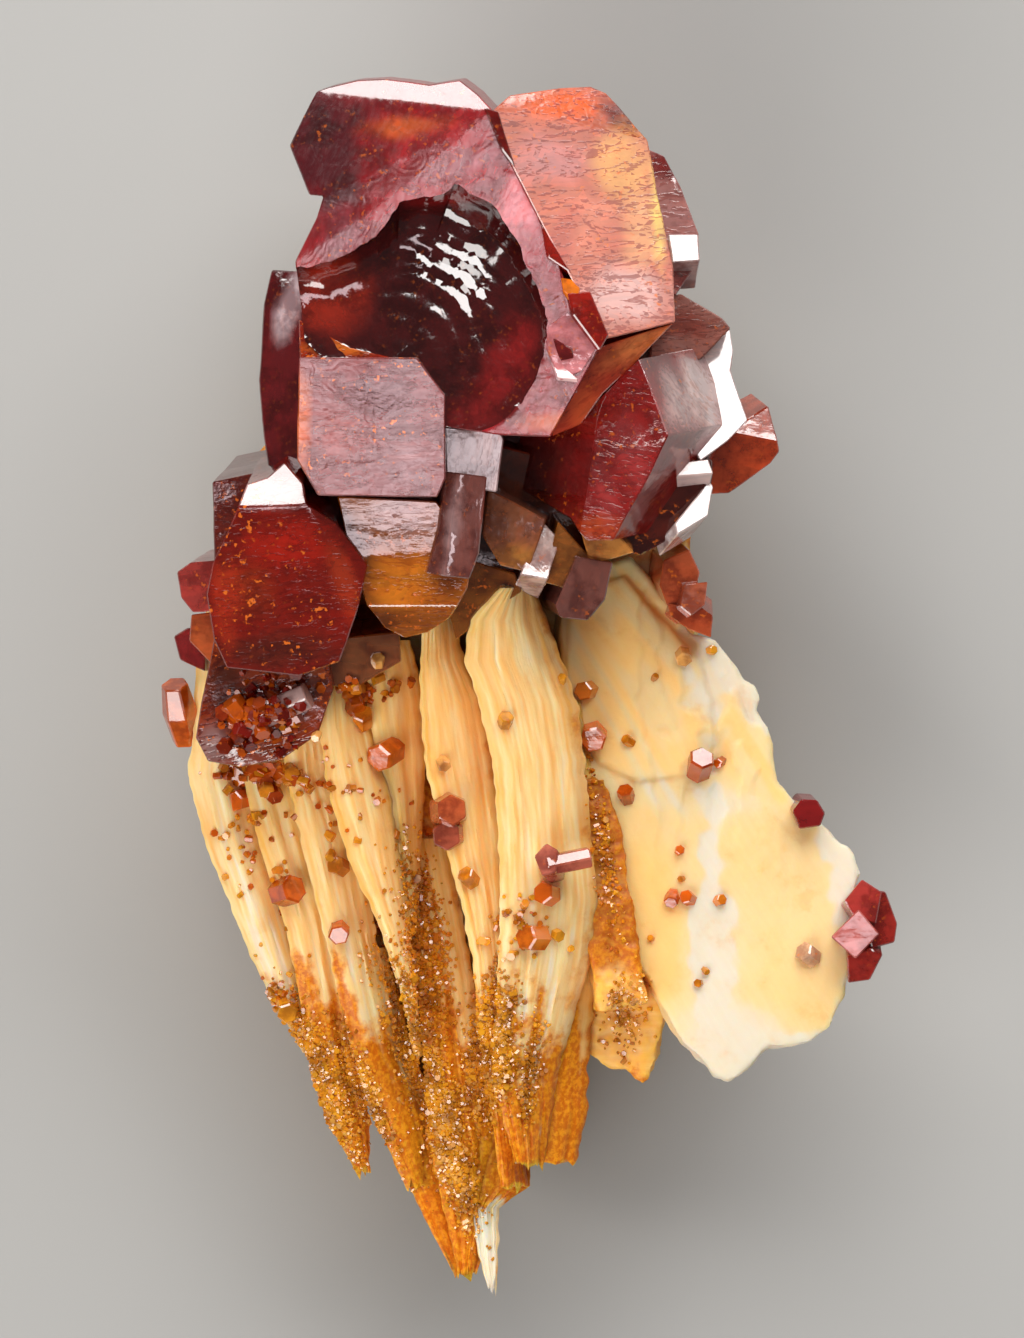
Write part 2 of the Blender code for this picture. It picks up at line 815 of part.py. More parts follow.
def plate_object(outline, height, thick, axis, rim=0.0):
    """A thin plate; with a rim, only that share of its front is flat and the rest slopes down."""
    bm = prism(outline, height, axis, thick)
    if rim:
        front = max(bm.faces, key=lambda face: face.normal.z)
        border = list(front.verts)
        inner = bmesh.ops.extrude_discrete_faces(bm, faces=[front])["faces"][0]
        middle = inner.calc_center_median()
        bmesh.ops.scale(bm, verts=inner.verts, vec=(rim,) * 3, space=Matrix.Translation(-middle))
        bmesh.ops.translate(bm, verts=border, vec=(0, 0, -thick * MM * RIM_DROP))
    bm.normal_update()
    bmesh.ops.triangulate(bm, faces=bm.faces)
    return add_object("plate", bm, TOOLS)


def ragged(outline, chance):
    """The outline with two shifted points along each of its edges."""
    points = []
    for start, end in zip(outline, outline[1:] + outline[:1]):
        points.append(start)
        for share in (0.34, 0.67):
            column = start[0] + (end[0] - start[0]) * share + chance.uniform(-RAGGED, RAGGED)
            row = start[1] + (end[1] - start[1]) * share + chance.uniform(-RAGGED, RAGGED)
            points.append((column, row))
    return tuple(points)


def root_object(chance):
    """The root slab, which the specimen rests on."""
    bm = prism(ragged(ROOT, chance), ROOT_TOP, (0, 0, 1), ROOT_TOP, narrowing=REST_SHARE)
    bm.normal_update()
    bmesh.ops.triangulate(bm, faces=bm.faces)
    return add_object("barite_matrix", bm, COLLECTION)


def small_crystal(column, row, width, surface, chance):
    """A small hexagonal crystal half sunk in the surface under a picture point."""
    place = surface.ray_cast(at(column, row, ABOVE_ALL), Vector((0, 0, -1)))[0]
    if place is None:
        return None
    tilt = Vector((chance.uniform(-SMALL_LEAN, SMALL_LEAN), chance.uniform(-SMALL_LEAN, SMALL_LEAN), 1))
    lean = tilt.normalized()
    radius = width * PIXEL * 0.5
    bm = bmesh.new()
    bmesh.ops.create_cone(
        bm, cap_ends=True, segments=6, radius1=radius, radius2=radius, depth=radius * SMALL_LENGTH
    )
    turn = Matrix.Rotation(chance.uniform(0, math.pi), 4, "Z")
    where = Matrix.Translation(place) @ lean.to_track_quat("Z", "Y").to_matrix().to_4x4() @ turn
    bmesh.ops.transform(bm, matrix=where, verts=bm.verts)
    return add_object("small_crystal", bm, TOOLS)


def surface_of(body):
    """A search tree of a body's surface."""
    bm = bmesh.new()
    bm.from_mesh(body.data)
    tree = BVHTree.FromBMesh(bm)
    bm.free()
    return tree


def keep_largest(body):
    """Removes the loose splinters that the cuts left beside the largest part."""
    bm = bmesh.new()
    bm.from_mesh(body.data)
    bmesh.ops.remove_doubles(bm, verts=bm.verts, dist=SAME_POINT)
    left = set(bm.verts)
    parts = []
    while left:
        reached = {left.pop()}
        front = list(reached)
        while front:
            vert = front.pop()
            for edge in vert.link_edges:
                other = edge.other_vert(vert)
                if other not in reached:
                    reached.add(other)
                    front.append(other)
        left -= reached
        parts.append(reached)
    parts.sort(key=len)
    bmesh.ops.delete(bm, geom=[vert for part in parts[:-1] for vert in part], context="VERTS")
    bm.to_mesh(body.data)
    bm.free()


def material(name, colour, roughness, see_through=0.0):
    """A Principled material."""
    made = bpy.data.materials.new(name)
    made.use_nodes = True
    shader = made.node_tree.nodes["Principled BSDF"]
    shader.inputs["Base Color"].default_value = (*colour, 1)
    shader.inputs["Roughness"].default_value = roughness
    shader.inputs["Metallic"].default_value = 0.0
    shader.inputs["Transmission Weight"].default_value = see_through
    made.diffuse_color = (*colour, 1)
    return made


def build_matrix(seated):
    """The barite: root, slabs, blades, plate, flap and the small crystals fused to them."""
    chance = random.Random(SEED)
    body = root_object(chance)
    for outline, top, thick in SLABS:
        combine(body, plate_object(ragged(outline, chance), top, thick, (0, 0, 1)), "UNION")
    combine(body, plate_object(PLATE, PLATE_HEIGHT, PLATE_THICK, PLATE_AXIS, PLATE_RIM), "UNION")
    for outline in (UPPER_STEP, LOWER_STEP):
        step = plate_object(outline, PLATE_HEIGHT + STEP_RISE, STEP_THICK, PLATE_AXIS)
        combine(body, step, "UNION")
    combine(body, plate_object(FLAP, FLAP_HEIGHT, FLAP_THICK, FLAP_AXIS), "UNION")
    combine(body, plate_object(STRIP, STRIP_HEIGHT, STRIP_THICK, PLATE_AXIS), "UNION")
    for blade in BLADES:
        combine(body, blade_object(blade, chance), "UNION")
    surface = surface_of(body)
    for column, row, width in SMALL_CRYSTALS:
        small = small_crystal(column, row, width, surface, chance)
        if small:
            combine(body, small, "UNION")
    seat(body, seated)
    keep_largest(body)
    return body


def main():
    """Builds the specimen."""
    for body in list(bpy.data.objects):
        bpy.data.objects.remove(body)
    set_collection(COLLECTION)
    set_collection(TOOLS)
    red = material("vanadinite", (0.36, 0.02, 0.01), 0.12, 0.5)
    orange = material("vanadinite_small", (0.62, 0.10, 0.03), 0.15, 0.4)
    cream = material("barite", (0.86, 0.70, 0.46), 0.5)

    main_crystals = []
    for crystals in (GIANT_CRYSTALS, LEFT_CRYSTALS, RIGHT_CRYSTALS, MIDDLE_CRYSTALS, CARRYING_CRYSTALS):
        main_crystals += crystals.values()
    groups = {
        "main_cluster": main_crystals,
        "shoulder_crystals": SHOULDER_CRYSTALS.values(),
        "plate_edge_cluster": PLATE_EDGE_CLUSTER.values(),
        "plate_edge_crystal": PLATE_EDGE_CRYSTAL.values(),
        "blade_bar": BLADE_BAR.values(),
        "blade_knob": BLADE_KNOB.values(),
        "left_edge_crystal": LEFT_EDGE.values(),
    }
    for name, crystals in groups.items():
        body = join_crystals(name, crystals)
        body.data.materials.clear()
        body.data.materials.append(red if name == "main_cluster" else orange)
    matrix = build_matrix([crystal for crystals in groups.values() for crystal in crystals])
    matrix.data.materials.clear()
    matrix.data.materials.append(cream)


main()
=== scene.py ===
import logging
import math
from dataclasses import dataclass, field
from enum import Enum

import bmesh
import bpy
import numpy as np
from mathutils import Matrix, Vector, noise
from mathutils.bvhtree import BVHTree


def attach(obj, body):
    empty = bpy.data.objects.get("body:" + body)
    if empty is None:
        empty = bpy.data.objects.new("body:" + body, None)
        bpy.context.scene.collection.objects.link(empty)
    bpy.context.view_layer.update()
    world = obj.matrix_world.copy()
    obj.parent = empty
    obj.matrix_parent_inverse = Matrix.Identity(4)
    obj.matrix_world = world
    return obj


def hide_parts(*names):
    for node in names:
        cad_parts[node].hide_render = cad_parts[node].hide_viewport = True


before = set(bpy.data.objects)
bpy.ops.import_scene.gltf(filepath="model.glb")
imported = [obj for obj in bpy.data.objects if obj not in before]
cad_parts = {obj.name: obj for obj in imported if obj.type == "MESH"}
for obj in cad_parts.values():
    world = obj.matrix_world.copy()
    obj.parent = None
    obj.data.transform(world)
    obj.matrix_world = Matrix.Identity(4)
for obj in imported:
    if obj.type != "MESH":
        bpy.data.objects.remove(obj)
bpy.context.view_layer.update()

LOG = logging.getLogger("specimen")

# The specimen is 45 mm tall; the picture of its front is 1024 by 1338 pixels
SPECIMEN_TALL = 0.045
TOP_ROW = 85
BOTTOM_ROW = 1293
PIXEL = SPECIMEN_TALL / (BOTTOM_ROW - TOP_ROW)
CENTRE_COLUMN = 530
CENTRE_ROW = 689
PICTURE_WIDE = 1024
PICTURE_TALL = 1338
MM = 0.001

Colour = tuple[float, float, float]
Direction = tuple[float, float, float]
Point = tuple[float, float]


def at(column: float, row: float, height: float) -> Vector:
    """Finds the place of a picture point.

    Args:
        column: picture column in pixels.
        row: picture row in pixels.
        height: height above the rest face in millimetres.

    Returns:
        The place in metres.
    """
    return Vector(((column - CENTRE_COLUMN) * PIXEL, (CENTRE_ROW - row) * PIXEL, height * MM))


def clear_selection() -> None:
    """Deselects every object."""
    bpy.ops.object.select_all(action="DESELECT")


def take(piece: bpy.types.Object) -> None:
    """Selects one piece alone and makes it the active one."""
    clear_selection()
    piece.select_set(True)
    bpy.context.view_layer.objects.active = piece


def apply_modifier(piece: bpy.types.Object, kind: str, **settings: object) -> None:
    """Adds a modifier to a piece, sets it and applies it.

    Args:
        piece: the piece to change.
        kind: the modifier's type.
        **settings: the modifier's values by name.
    """
    take(piece)
    modifier = piece.modifiers.new(kind.title(), kind)
    for name, value in settings.items():
        setattr(modifier, name, value)
    bpy.ops.object.modifier_apply(modifier=modifier.name)


def combine(piece: bpy.types.Object, tool: bpy.types.Object, operation: str) -> None:
    """Joins a tool to a piece, or cuts it out of it, and removes the tool."""
    apply_modifier(piece, "BOOLEAN", operation=operation, solver="EXACT", object=tool)
    bpy.data.objects.remove(tool)


def from_arrays(name: str, points: np.ndarray, faces: list[tuple[int, ...]]) -> bpy.types.Object:
    """Makes a piece from its points and faces.

    Args:
        name: the piece's name.
        points: one row of x, y, z for each point, in metres.
        faces: the point numbers of each face.

    Returns:
        The new piece.
    """
    mesh = bpy.data.meshes.new(name)
    mesh.from_pydata([tuple(point) for point in points], [], faces)
    piece = bpy.data.objects.new(name, mesh)
    bpy.context.scene.collection.objects.link(piece)
    return piece


def points_of(piece: bpy.types.Object) -> np.ndarray:
    """Reads a piece's points as an array of x, y, z."""
    flat = np.empty(len(piece.data.vertices) * 3, dtype=np.float64)
    piece.data.vertices.foreach_get("co", flat)
    return flat.reshape(-1, 3)


def normals_of(piece: bpy.types.Object) -> np.ndarray:
    """Reads the normals at a piece's points."""
    flat = np.empty(len(piece.data.vertices) * 3, dtype=np.float64)
    piece.data.vertex_normals.foreach_get("vector", flat)
    return flat.reshape(-1, 3)


def move_points(piece: bpy.types.Object, points: np.ndarray) -> None:
    """Gives a piece's points new places."""
    piece.data.vertices.foreach_set("co", points.astype(np.float32).ravel())
    piece.data.update()


def ripple(points: np.ndarray, scale: Direction, seed: float) -> np.ndarray:
    """Reads smooth noise at many places.

    Args:
        points: places in metres.
        scale: waves per millimetre along x, y and z.
        seed: shifts the pattern.

    Returns:
        One value from about -1 to 1 for each place.
    """
    stretched = points / MM * np.array(scale) + seed
    return np.array([noise.noise(Vector(place)) for place in stretched])


def smoothstep(low: float, high: float, value: np.ndarray | float) -> np.ndarray:
    """Rises smoothly from 0 at low to 1 at high."""
    share = np.clip((value - low) / (high - low), 0, 1)
    return share * share * (3 - 2 * share)


def columns_rows(points: np.ndarray) -> tuple[np.ndarray, np.ndarray]:
    """Finds the picture columns and rows of places in metres."""
    return points[:, 0] / PIXEL + CENTRE_COLUMN, CENTRE_ROW - points[:, 1] / PIXEL


def wave(first: float, second: float, third: float) -> float:
    """Reads smooth noise at one place, from about -1 to 1."""
    return noise.noise(Vector((first, second, third)))


def own(piece: bpy.types.Object, owner: int) -> None:
    """Keeps a crystal's number on all of a piece's faces."""
    owners = piece.data.attributes.new("owner", "INT", "FACE")
    owners.data.foreach_set("value", [owner] * len(piece.data.polygons))


def face_outward(piece: bpy.types.Object) -> None:
    """Turns all of a piece's faces outward and leaves it selected."""
    take(piece)
    bpy.ops.object.mode_set(mode="EDIT")
    bpy.ops.mesh.select_all(action="SELECT")
    bpy.ops.mesh.normals_make_consistent(inside=False)
    bpy.ops.object.mode_set(mode="OBJECT")


def corner_points(piece: bpy.types.Object) -> np.ndarray:
    """Reads the point number of each face corner."""
    which = np.empty(len(piece.data.loops), dtype=np.int32)
    piece.data.loops.foreach_get("vertex_index", which)
    return which


def paint(piece: bpy.types.Object, name: str, values: np.ndarray, domain: str) -> None:
    """Keeps four values for each point or corner of a piece as an attribute that its material reads.

    Args:
        piece: the piece.
        name: the attribute's name.
        values: one row of four values for each point or corner.
        domain: POINT or CORNER.
    """
    colours = piece.data.attributes.new(name, "FLOAT_COLOR", domain)
    colours.data.foreach_set("color", values.astype(np.float32).ravel())


def lay_grain(piece: bpy.types.Object, lines: np.ndarray) -> None:
    """Lays the map grain, whose first axis runs along the striations, from its place at each corner."""
    layer = piece.data.uv_layers.new(name="grain")
    layer.data.foreach_set("uv", lines.astype(np.float32).ravel())


class Wiring:
    """Builds a material's nodes around its Principled shader."""

    def __init__(self, name: str) -> None:
        """Starts a material with its shader and output."""
        self.material = bpy.data.materials.new(name)
        self.material.use_nodes = True
        self.tree = self.material.node_tree
        self.shader = self.tree.nodes["Principled BSDF"]
        self.output = self.tree.nodes["Material Output"]

    def node(
        self, kind: str, inputs: dict[str | int, object] | None = None, **settings: object
    ) -> bpy.types.Node:
        """Adds a node.

        Args:
            kind: the node's type name.
            inputs: values or sockets for its inputs, by name or number.
            **settings: the node's own settings.

        Returns:
            The new node.
        """
        node = self.tree.nodes.new(kind)
        for name, value in settings.items():
            setattr(node, name, value)
        for name, value in (inputs or {}).items():
            self.feed(node.inputs[name], value)
        return node

    def feed(self, socket: bpy.types.NodeSocket, value: object) -> None:
        """Links a socket to another, or sets its value."""
        if isinstance(value, bpy.types.NodeSocket):
            self.tree.links.new(value, socket)
        else:
            socket.default_value = value

    def mix(self, share: object, first: object, second: object, blend: str = "MIX") -> bpy.types.NodeSocket:
        """Mixes two colours and returns the socket of the result."""
        node = self.node("ShaderNodeMix", data_type="RGBA", blend_type=blend)
        self.feed(node.inputs[0], share)
        for socket, value in ((node.inputs[6], first), (node.inputs[7], second)):
            self.feed(socket, (*value, 1.0) if isinstance(value, tuple) and len(value) == 3 else value)
        return node.outputs[2]

    def reach(
        self, value: object, low: float, high: float, to_low: float = 0.0, to_high: float = 1.0
    ) -> bpy.types.NodeSocket:
        """Maps a range of a value smoothly onto another."""
        node = self.node(
            "ShaderNodeMapRange",
            {"Value": value, 1: low, 2: high, 3: to_low, 4: to_high},
            interpolation_type="SMOOTHSTEP",
        )
        return node.outputs[0]

    def times(self, first: object, second: object) -> bpy.types.NodeSocket:
        """Multiplies two numbers."""
        return self.node("ShaderNodeMath", {0: first, 1: second}, operation="MULTIPLY").outputs[0]

    def grain(
        self, vector: object, scale: float, detail: float = 3.0, rough: float = 0.55
    ) -> bpy.types.NodeSocket:
        """Adds noise and returns its factor."""
        node = self.node(
            "ShaderNodeTexNoise", {"Vector": vector, "Scale": scale, "Detail": detail, "Roughness": rough}
        )
        return node.outputs["Fac"]

    def stretch(self, vector: object, along: float) -> bpy.types.NodeSocket:
        """Draws a pattern out along the first axis of its coordinates."""
        return self.node("ShaderNodeMapping", {"Vector": vector, "Scale": (along, 1.0, 1.0)}).outputs[0]

    def rings(self, value: object, often: float) -> bpy.types.NodeSocket:
        """Turns a smooth value into repeated contour lines, from -1 to 1."""
        return self.node("ShaderNodeMath", {0: self.times(value, often)}, operation="SINE").outputs[0]

    def attribute(self, name: str) -> bpy.types.Node:
        """Reads one of the piece's own attributes."""
        return self.node("ShaderNodeAttribute", attribute_name=name)

    def bump(
        self, height: object, distance: float, strength: object, under: object | None = None
    ) -> bpy.types.NodeSocket:
        """Turns a height pattern into a bumped normal, over another where one is given."""
        inputs = {"Height": height, "Distance": distance, "Strength": strength}
        if under is not None:
            inputs["Normal"] = under
        return self.node("ShaderNodeBump", inputs).outputs[0]


# How often each pattern of the finishes repeats, in waves a metre
VEIL_WAVES = 800
STREAK_WAVES = 1900
SCRATCH_WAVES = 5200
BAND_WAVES = 620
SPOT_WAVES = 4600
ETCH_WAVES = 2600
WRINKLE_WAVES = 420
FIBRE_WAVES = 3200
MOTTLE_WAVES = 700
GRIT_WAVES = 5200


@dataclass(frozen=True)
class Vanadinite:
    """The finish of a red crystal: tinted body, orange inclusions with painted glints inside, and a glossy,
    striated skin.

    inclusion_glints, streaks and relief say how strong the orange inclusions with their painted glints, the
    pale streaks and the bumps are, and index how strongly it bends light. veil, streak, band and line
    multiply the body's colour.
    """

    name: str
    inclusion_glints: float = 1.0
    streaks: float = 1.0
    relief: float = 1.0
    index: float = 2.2
    veil: Colour = (0.34, 0.20, 0.20)
    streak: Colour = (1.9, 1.5, 1.3)
    band: Colour = (1.3, 1.7, 1.9)
    line: Colour = (0.44, 0.16, 0.12)
    inclusion_glint: Colour = (0.95, 0.20, 0.02)
    inside: Colour = (0.93, 0.55, 0.25)
    density: float = 900.0

    def material(self) -> bpy.types.Material:
        """Makes the material, which reads the attributes tint and habit and the map grain."""
        wiring = Wiring(self.name)
        place = wiring.node("ShaderNodeTexCoord").outputs["Object"]
        lines = wiring.node("ShaderNodeUVMap", uv_map="grain").outputs[0]
        tint = wiring.attribute("tint")
        habit = wiring.node("ShaderNodeSeparateColor", {"Color": wiring.attribute("habit").outputs["Color"]})
        glow, rough, lined = habit.outputs[0], habit.outputs[1], habit.outputs[2]

        veils = wiring.grain(place, VEIL_WAVES, 6.0, 0.62)
        streaky = wiring.grain(wiring.stretch(lines, 0.16), STREAK_WAVES, 3.0, 0.6)
        bands = wiring.grain(wiring.stretch(lines, 0.13), BAND_WAVES, 5.0, 0.6)
        drawn = wiring.times(wiring.reach(wiring.rings(bands, 75.0), 0.45, 0.98), lined)

        body = self.body(wiring, tint.outputs["Color"], veils, streaky, bands, drawn, lined)
        # orange inclusions with painted glints of light on inner cracks, as many as the glow channel asks
        spots = wiring.grain(place, SPOT_WAVES, 3.0, 0.5)
        inclusion_glint_mask = wiring.times(wiring.reach(spots, 0.58, 0.72), wiring.reach(veils, 0.46, 0.60))
        share = wiring.times(wiring.times(inclusion_glint_mask, glow), self.inclusion_glints)
        wiring.feed(wiring.shader.inputs["Base Color"], wiring.mix(share, body, self.inclusion_glint))
        wiring.feed(wiring.shader.inputs["Transmission Weight"], tint.outputs["Alpha"])
        scratches = wiring.grain(wiring.stretch(lines, 0.35), SCRATCH_WAVES, 2.0, 0.5)
        uneven = wiring.reach(scratches, 0.35, 0.7, 0.0, 0.07)
        gloss = wiring.node("ShaderNodeMath", {0: uneven, 1: rough}, operation="ADD")
        wiring.feed(wiring.shader.inputs["Roughness"], gloss.outputs[0])
        wiring.shader.inputs["IOR"].default_value = self.index

        etched = wiring.grain(place, ETCH_WAVES, 3.0, 0.6)
        wrinkles = wiring.rings(wiring.grain(place, WRINKLE_WAVES, 3.0, 0.5), 90.0)
        normal = wiring.bump(etched, 0.00002, 0.25 * self.relief)
        normal = wiring.bump(streaky, 0.00003, 0.25 * self.relief, normal)
        normal = wiring.bump(drawn, 0.000006, 0.4 * self.relief, normal)
        normal = wiring.bump(wrinkles, 0.0000035, wiring.times(rough, 1.6 * self.relief), normal)
        wiring.feed(wiring.shader.inputs["Normal"], normal)
        absorb = wiring.node("ShaderNodeVolumeAbsorption")
        absorb.inputs["Color"].default_value = (*self.inside, 1.0)
        absorb.inputs["Density"].default_value = self.density
        wiring.feed(wiring.output.inputs["Volume"], absorb.outputs[0])
        return wiring.material

    def body(
        self, wiring: Wiring, tint: object, veils: object, streaky: object, bands: object, drawn: object,
        lined: object,
    ) -> bpy.types.NodeSocket:
        """Lays veils, pale streaks, bright bands and dark lines over the body's colour.

        Args:
            wiring: the material that is being built.
            tint: the body's colour.
            veils: the pattern of dim clouds inside.
            streaky: the pattern of pale streaks.
            bands: the pattern of broad bands.
            drawn: where dark lines are drawn.
            lined: how strongly lines and bands show.

        Returns:
            The socket of the colour.
        """
        clear = wiring.reach(lined, 0.0, 1.0, 0.72, 0.15)
        body = wiring.mix(wiring.times(wiring.reach(veils, 0.42, 0.62), clear), tint, self.veil, "MULTIPLY")
        light = wiring.times(wiring.reach(streaky, 0.42, 0.66), 0.35 * self.streaks)
        body = wiring.mix(light, body, self.streak, "MULTIPLY")
        bright = wiring.times(wiring.reach(bands, 0.52, 0.74), lined)
        body = wiring.mix(wiring.times(bright, 0.6), body, self.band, "MULTIPLY")
        return wiring.mix(wiring.times(drawn, 0.85), body, self.line, "MULTIPLY")


@dataclass(frozen=True)
class Barite:
    """The finish of the barite: cream to yellow, fibrous and stained ochre and brown, with painted shade,
    dark brown, in the gaps between blades.

    depth is how far light spreads inside in metres, fibrous how strongly its fibres show and tone how
    bright its pale colours are. woody and mottled multiply the body's colour.
    """

    name: str
    white: Colour = (0.86, 0.78, 0.62)
    cream: Colour = (0.95, 0.73, 0.37)
    peach: Colour = (0.94, 0.58, 0.21)
    yellow: Colour = (0.93, 0.49, 0.08)
    ochre: Colour = (0.62, 0.15, 0.002)
    gold: Colour = (0.86, 0.33, 0.010)
    # brown is the real brown stain and also the painted shade in the gaps between blades
    brown: Colour = (0.25, 0.055, 0.006)
    woody: Colour = (0.95, 0.72, 0.45)
    mottled: Colour = (0.96, 0.80, 0.60)
    depth: float = 0.0012
    fibrous: float = 1.0
    tone: float = 1.0

    def material(self) -> bpy.types.Material:
        """Makes the material, which reads the attribute shade and the map grain."""
        wiring = Wiring(self.name)
        place = wiring.node("ShaderNodeTexCoord").outputs["Object"]
        shade = wiring.attribute("shade")
        channels = wiring.node("ShaderNodeSeparateColor", {"Color": shade.outputs["Color"]})
        warm, stain, shade_and_brown = channels.outputs[0], channels.outputs[1], channels.outputs[2]
        lines = wiring.node("ShaderNodeUVMap", uv_map="grain").outputs[0]
        fibres = wiring.grain(wiring.stretch(lines, 0.07), FIBRE_WAVES, 4.0, 0.62)
        mottle = wiring.grain(place, MOTTLE_WAVES, 5.0, 0.6)
        gritty = wiring.grain(place, GRIT_WAVES, 3.0, 0.6)

        white, cream = (tuple(part * self.tone for part in colour) for colour in (self.white, self.cream))
        body = wiring.mix(wiring.reach(warm, 0.0, 0.35), white, cream)
        body = wiring.mix(wiring.reach(warm, 0.30, 0.72), body, self.peach)
        body = wiring.mix(wiring.reach(warm, 0.65, 1.15), body, self.yellow)
        fibre_share = wiring.times(wiring.reach(fibres, 0.35, 0.62), 0.40 * self.fibrous)
        body = wiring.mix(fibre_share, body, self.woody, "MULTIPLY")
        mottle_share = wiring.times(wiring.reach(mottle, 0.45, 0.75), 0.35)
        body = wiring.mix(mottle_share, body, self.mottled, "MULTIPLY")
        shift = wiring.reach(mottle, 0.30, 0.70, -0.27, 0.27)
        spread = wiring.node("ShaderNodeMath", {0: stain, 1: shift}, operation="ADD")
        stained = wiring.reach(spread.outputs[0], 0.18, 0.62)
        crust = wiring.mix(wiring.reach(gritty, 0.38, 0.66), self.ochre, self.gold)
        body = wiring.mix(stained, body, crust)
        # the third shade channel mixes in brown: the real brown stain and the painted shade between blades
        body = wiring.mix(shade_and_brown, body, self.brown)
        wiring.feed(wiring.shader.inputs["Base Color"], body)
        wiring.shader.inputs["Subsurface Weight"].default_value = 0.55
        wiring.shader.inputs["Subsurface Radius"].default_value = (1.0, 0.55, 0.28)
        wiring.shader.inputs["Subsurface Scale"].default_value = self.depth
        wiring.feed(wiring.shader.inputs["Roughness"], wiring.reach(fibres, 0.3, 0.7, 0.38, 0.62))
        wiring.shader.inputs["IOR"].default_value = 1.5
        wiring.shader.inputs["Specular IOR Level"].default_value = 0.3
        normal = wiring.bump(fibres, 0.00006, 0.40 * self.fibrous)
        normal = wiring.bump(gritty, 0.00004, 0.30, normal)
        wiring.feed(wiring.shader.inputs["Normal"], normal)
        return wiring.material


@dataclass(frozen=True)
class Patch:
    """A soft area of colour on a crystal: its middle and half sizes in pixels, and how much it covers."""

    middle: Point
    half: Point
    colour: Colour
    share: float = 0.8
    turn: float = 0.0


def covered(patch: Patch, columns: np.ndarray, rows: np.ndarray, wobble: np.ndarray) -> np.ndarray:
    """Finds how much of each picture point a patch covers.

    Args:
        patch: the patch.
        columns: picture columns.
        rows: picture rows.
        wobble: makes its edge uneven.

    Returns:
        A share from 0 to the patch's own share for each point.
    """
    turn = math.radians(patch.turn)
    across, down = columns - patch.middle[0], rows - patch.middle[1]
    along = across * math.cos(turn) - down * math.sin(turn)
    beside = across * math.sin(turn) + down * math.cos(turn)
    away = np.hypot(along / patch.half[0], beside / patch.half[1])
    return patch.share * (1 - smoothstep(0.35, 1.25, away + wobble))


@dataclass(frozen=True)
class Crystal:
    """A prism seen on its end face, with its colours.

    face is the end face's outline in picture points and height the height of its middle in mm. facing is
    the way it looks, run the way its sides go where that differs. A bevel is a line across the face and
    the degrees that the part on its left turns down. body is its colour, clarity how far light passes,
    glow how many orange inclusions with painted glints show in it, grain the direction of its striations in
    degrees, rough its dullness and lined how strongly dark lines are drawn along the striations.
    """

    face: tuple[Point, ...]
    height: float
    facing: Direction
    length: float
    run: tuple[float, ...] = ()
    narrowing: float = 1.0
    bevels: tuple[tuple[Point, Point, float], ...] = ()
    body: Colour = (0.34, 0.035, 0.03)
    clarity: float = 0.35
    glow: float = 0.4
    grain: float = 0.0
    rough: float = 0.05
    lined: float = 0.0
    patches: tuple[Patch, ...] = ()

    def middle(self) -> Vector:
        """Finds the middle of the end face's outline, at height 0."""
        return sum((at(*point, 0) for point in self.face), Vector()) / len(self.face)

    def on_face(self, point: Point) -> Vector:
        """Lays a picture point on the end face's plane."""
        facing = Vector(self.facing).normalized()
        place = at(*point, self.height)
        away = place - self.middle()
        place.z -= (facing.x * away.x + facing.y * away.y) / facing.z
        return place

    def grow(self, owner: int) -> bpy.types.Object:
        """Models the crystal: a filled outline, extruded, narrowed, cut at its bevels and eased.

        Args:
            owner: the crystal's number, kept on its faces.

        Returns:
            The crystal as a closed piece.
        """
        clear_selection()
        bpy.ops.mesh.primitive_circle_add(vertices=len(self.face), radius=MM, fill_type="NGON")
        piece = bpy.context.object
        for vert, point in zip(piece.data.vertices, self.face):
            vert.co = self.on_face(point)
        back = -Vector(self.run or self.facing).normalized() * self.length * MM
        bpy.ops.object.mode_set(mode="EDIT")
        bpy.ops.mesh.select_all(action="SELECT")
        bpy.ops.mesh.extrude_region_move(TRANSFORM_OT_translate={"value": back})
        if self.narrowing != 1:
            far = sum(map(self.on_face, self.face), Vector()) / len(self.face) + back
            bpy.ops.transform.resize(value=(self.narrowing,) * 3, center_override=far)
        bpy.ops.mesh.select_all(action="SELECT")
        bpy.ops.mesh.normals_make_consistent(inside=False)
        facing = Vector(self.facing).normalized()
        for start, end, degrees in self.bevels:
            first, second = self.on_face(start), self.on_face(end)
            turned = Matrix.Rotation(-math.radians(degrees), 3, second - first) @ facing
            bpy.ops.mesh.select_all(action="SELECT")
            bpy.ops.mesh.bisect(plane_co=first, plane_no=turned, use_fill=True, clear_outer=True)
        bpy.ops.object.mode_set(mode="OBJECT")
        apply_modifier(
            piece, "BEVEL", width=EDGE_EASE, segments=1, limit_method="ANGLE", use_clamp_overlap=True
        )
        own(piece, owner)
        return piece


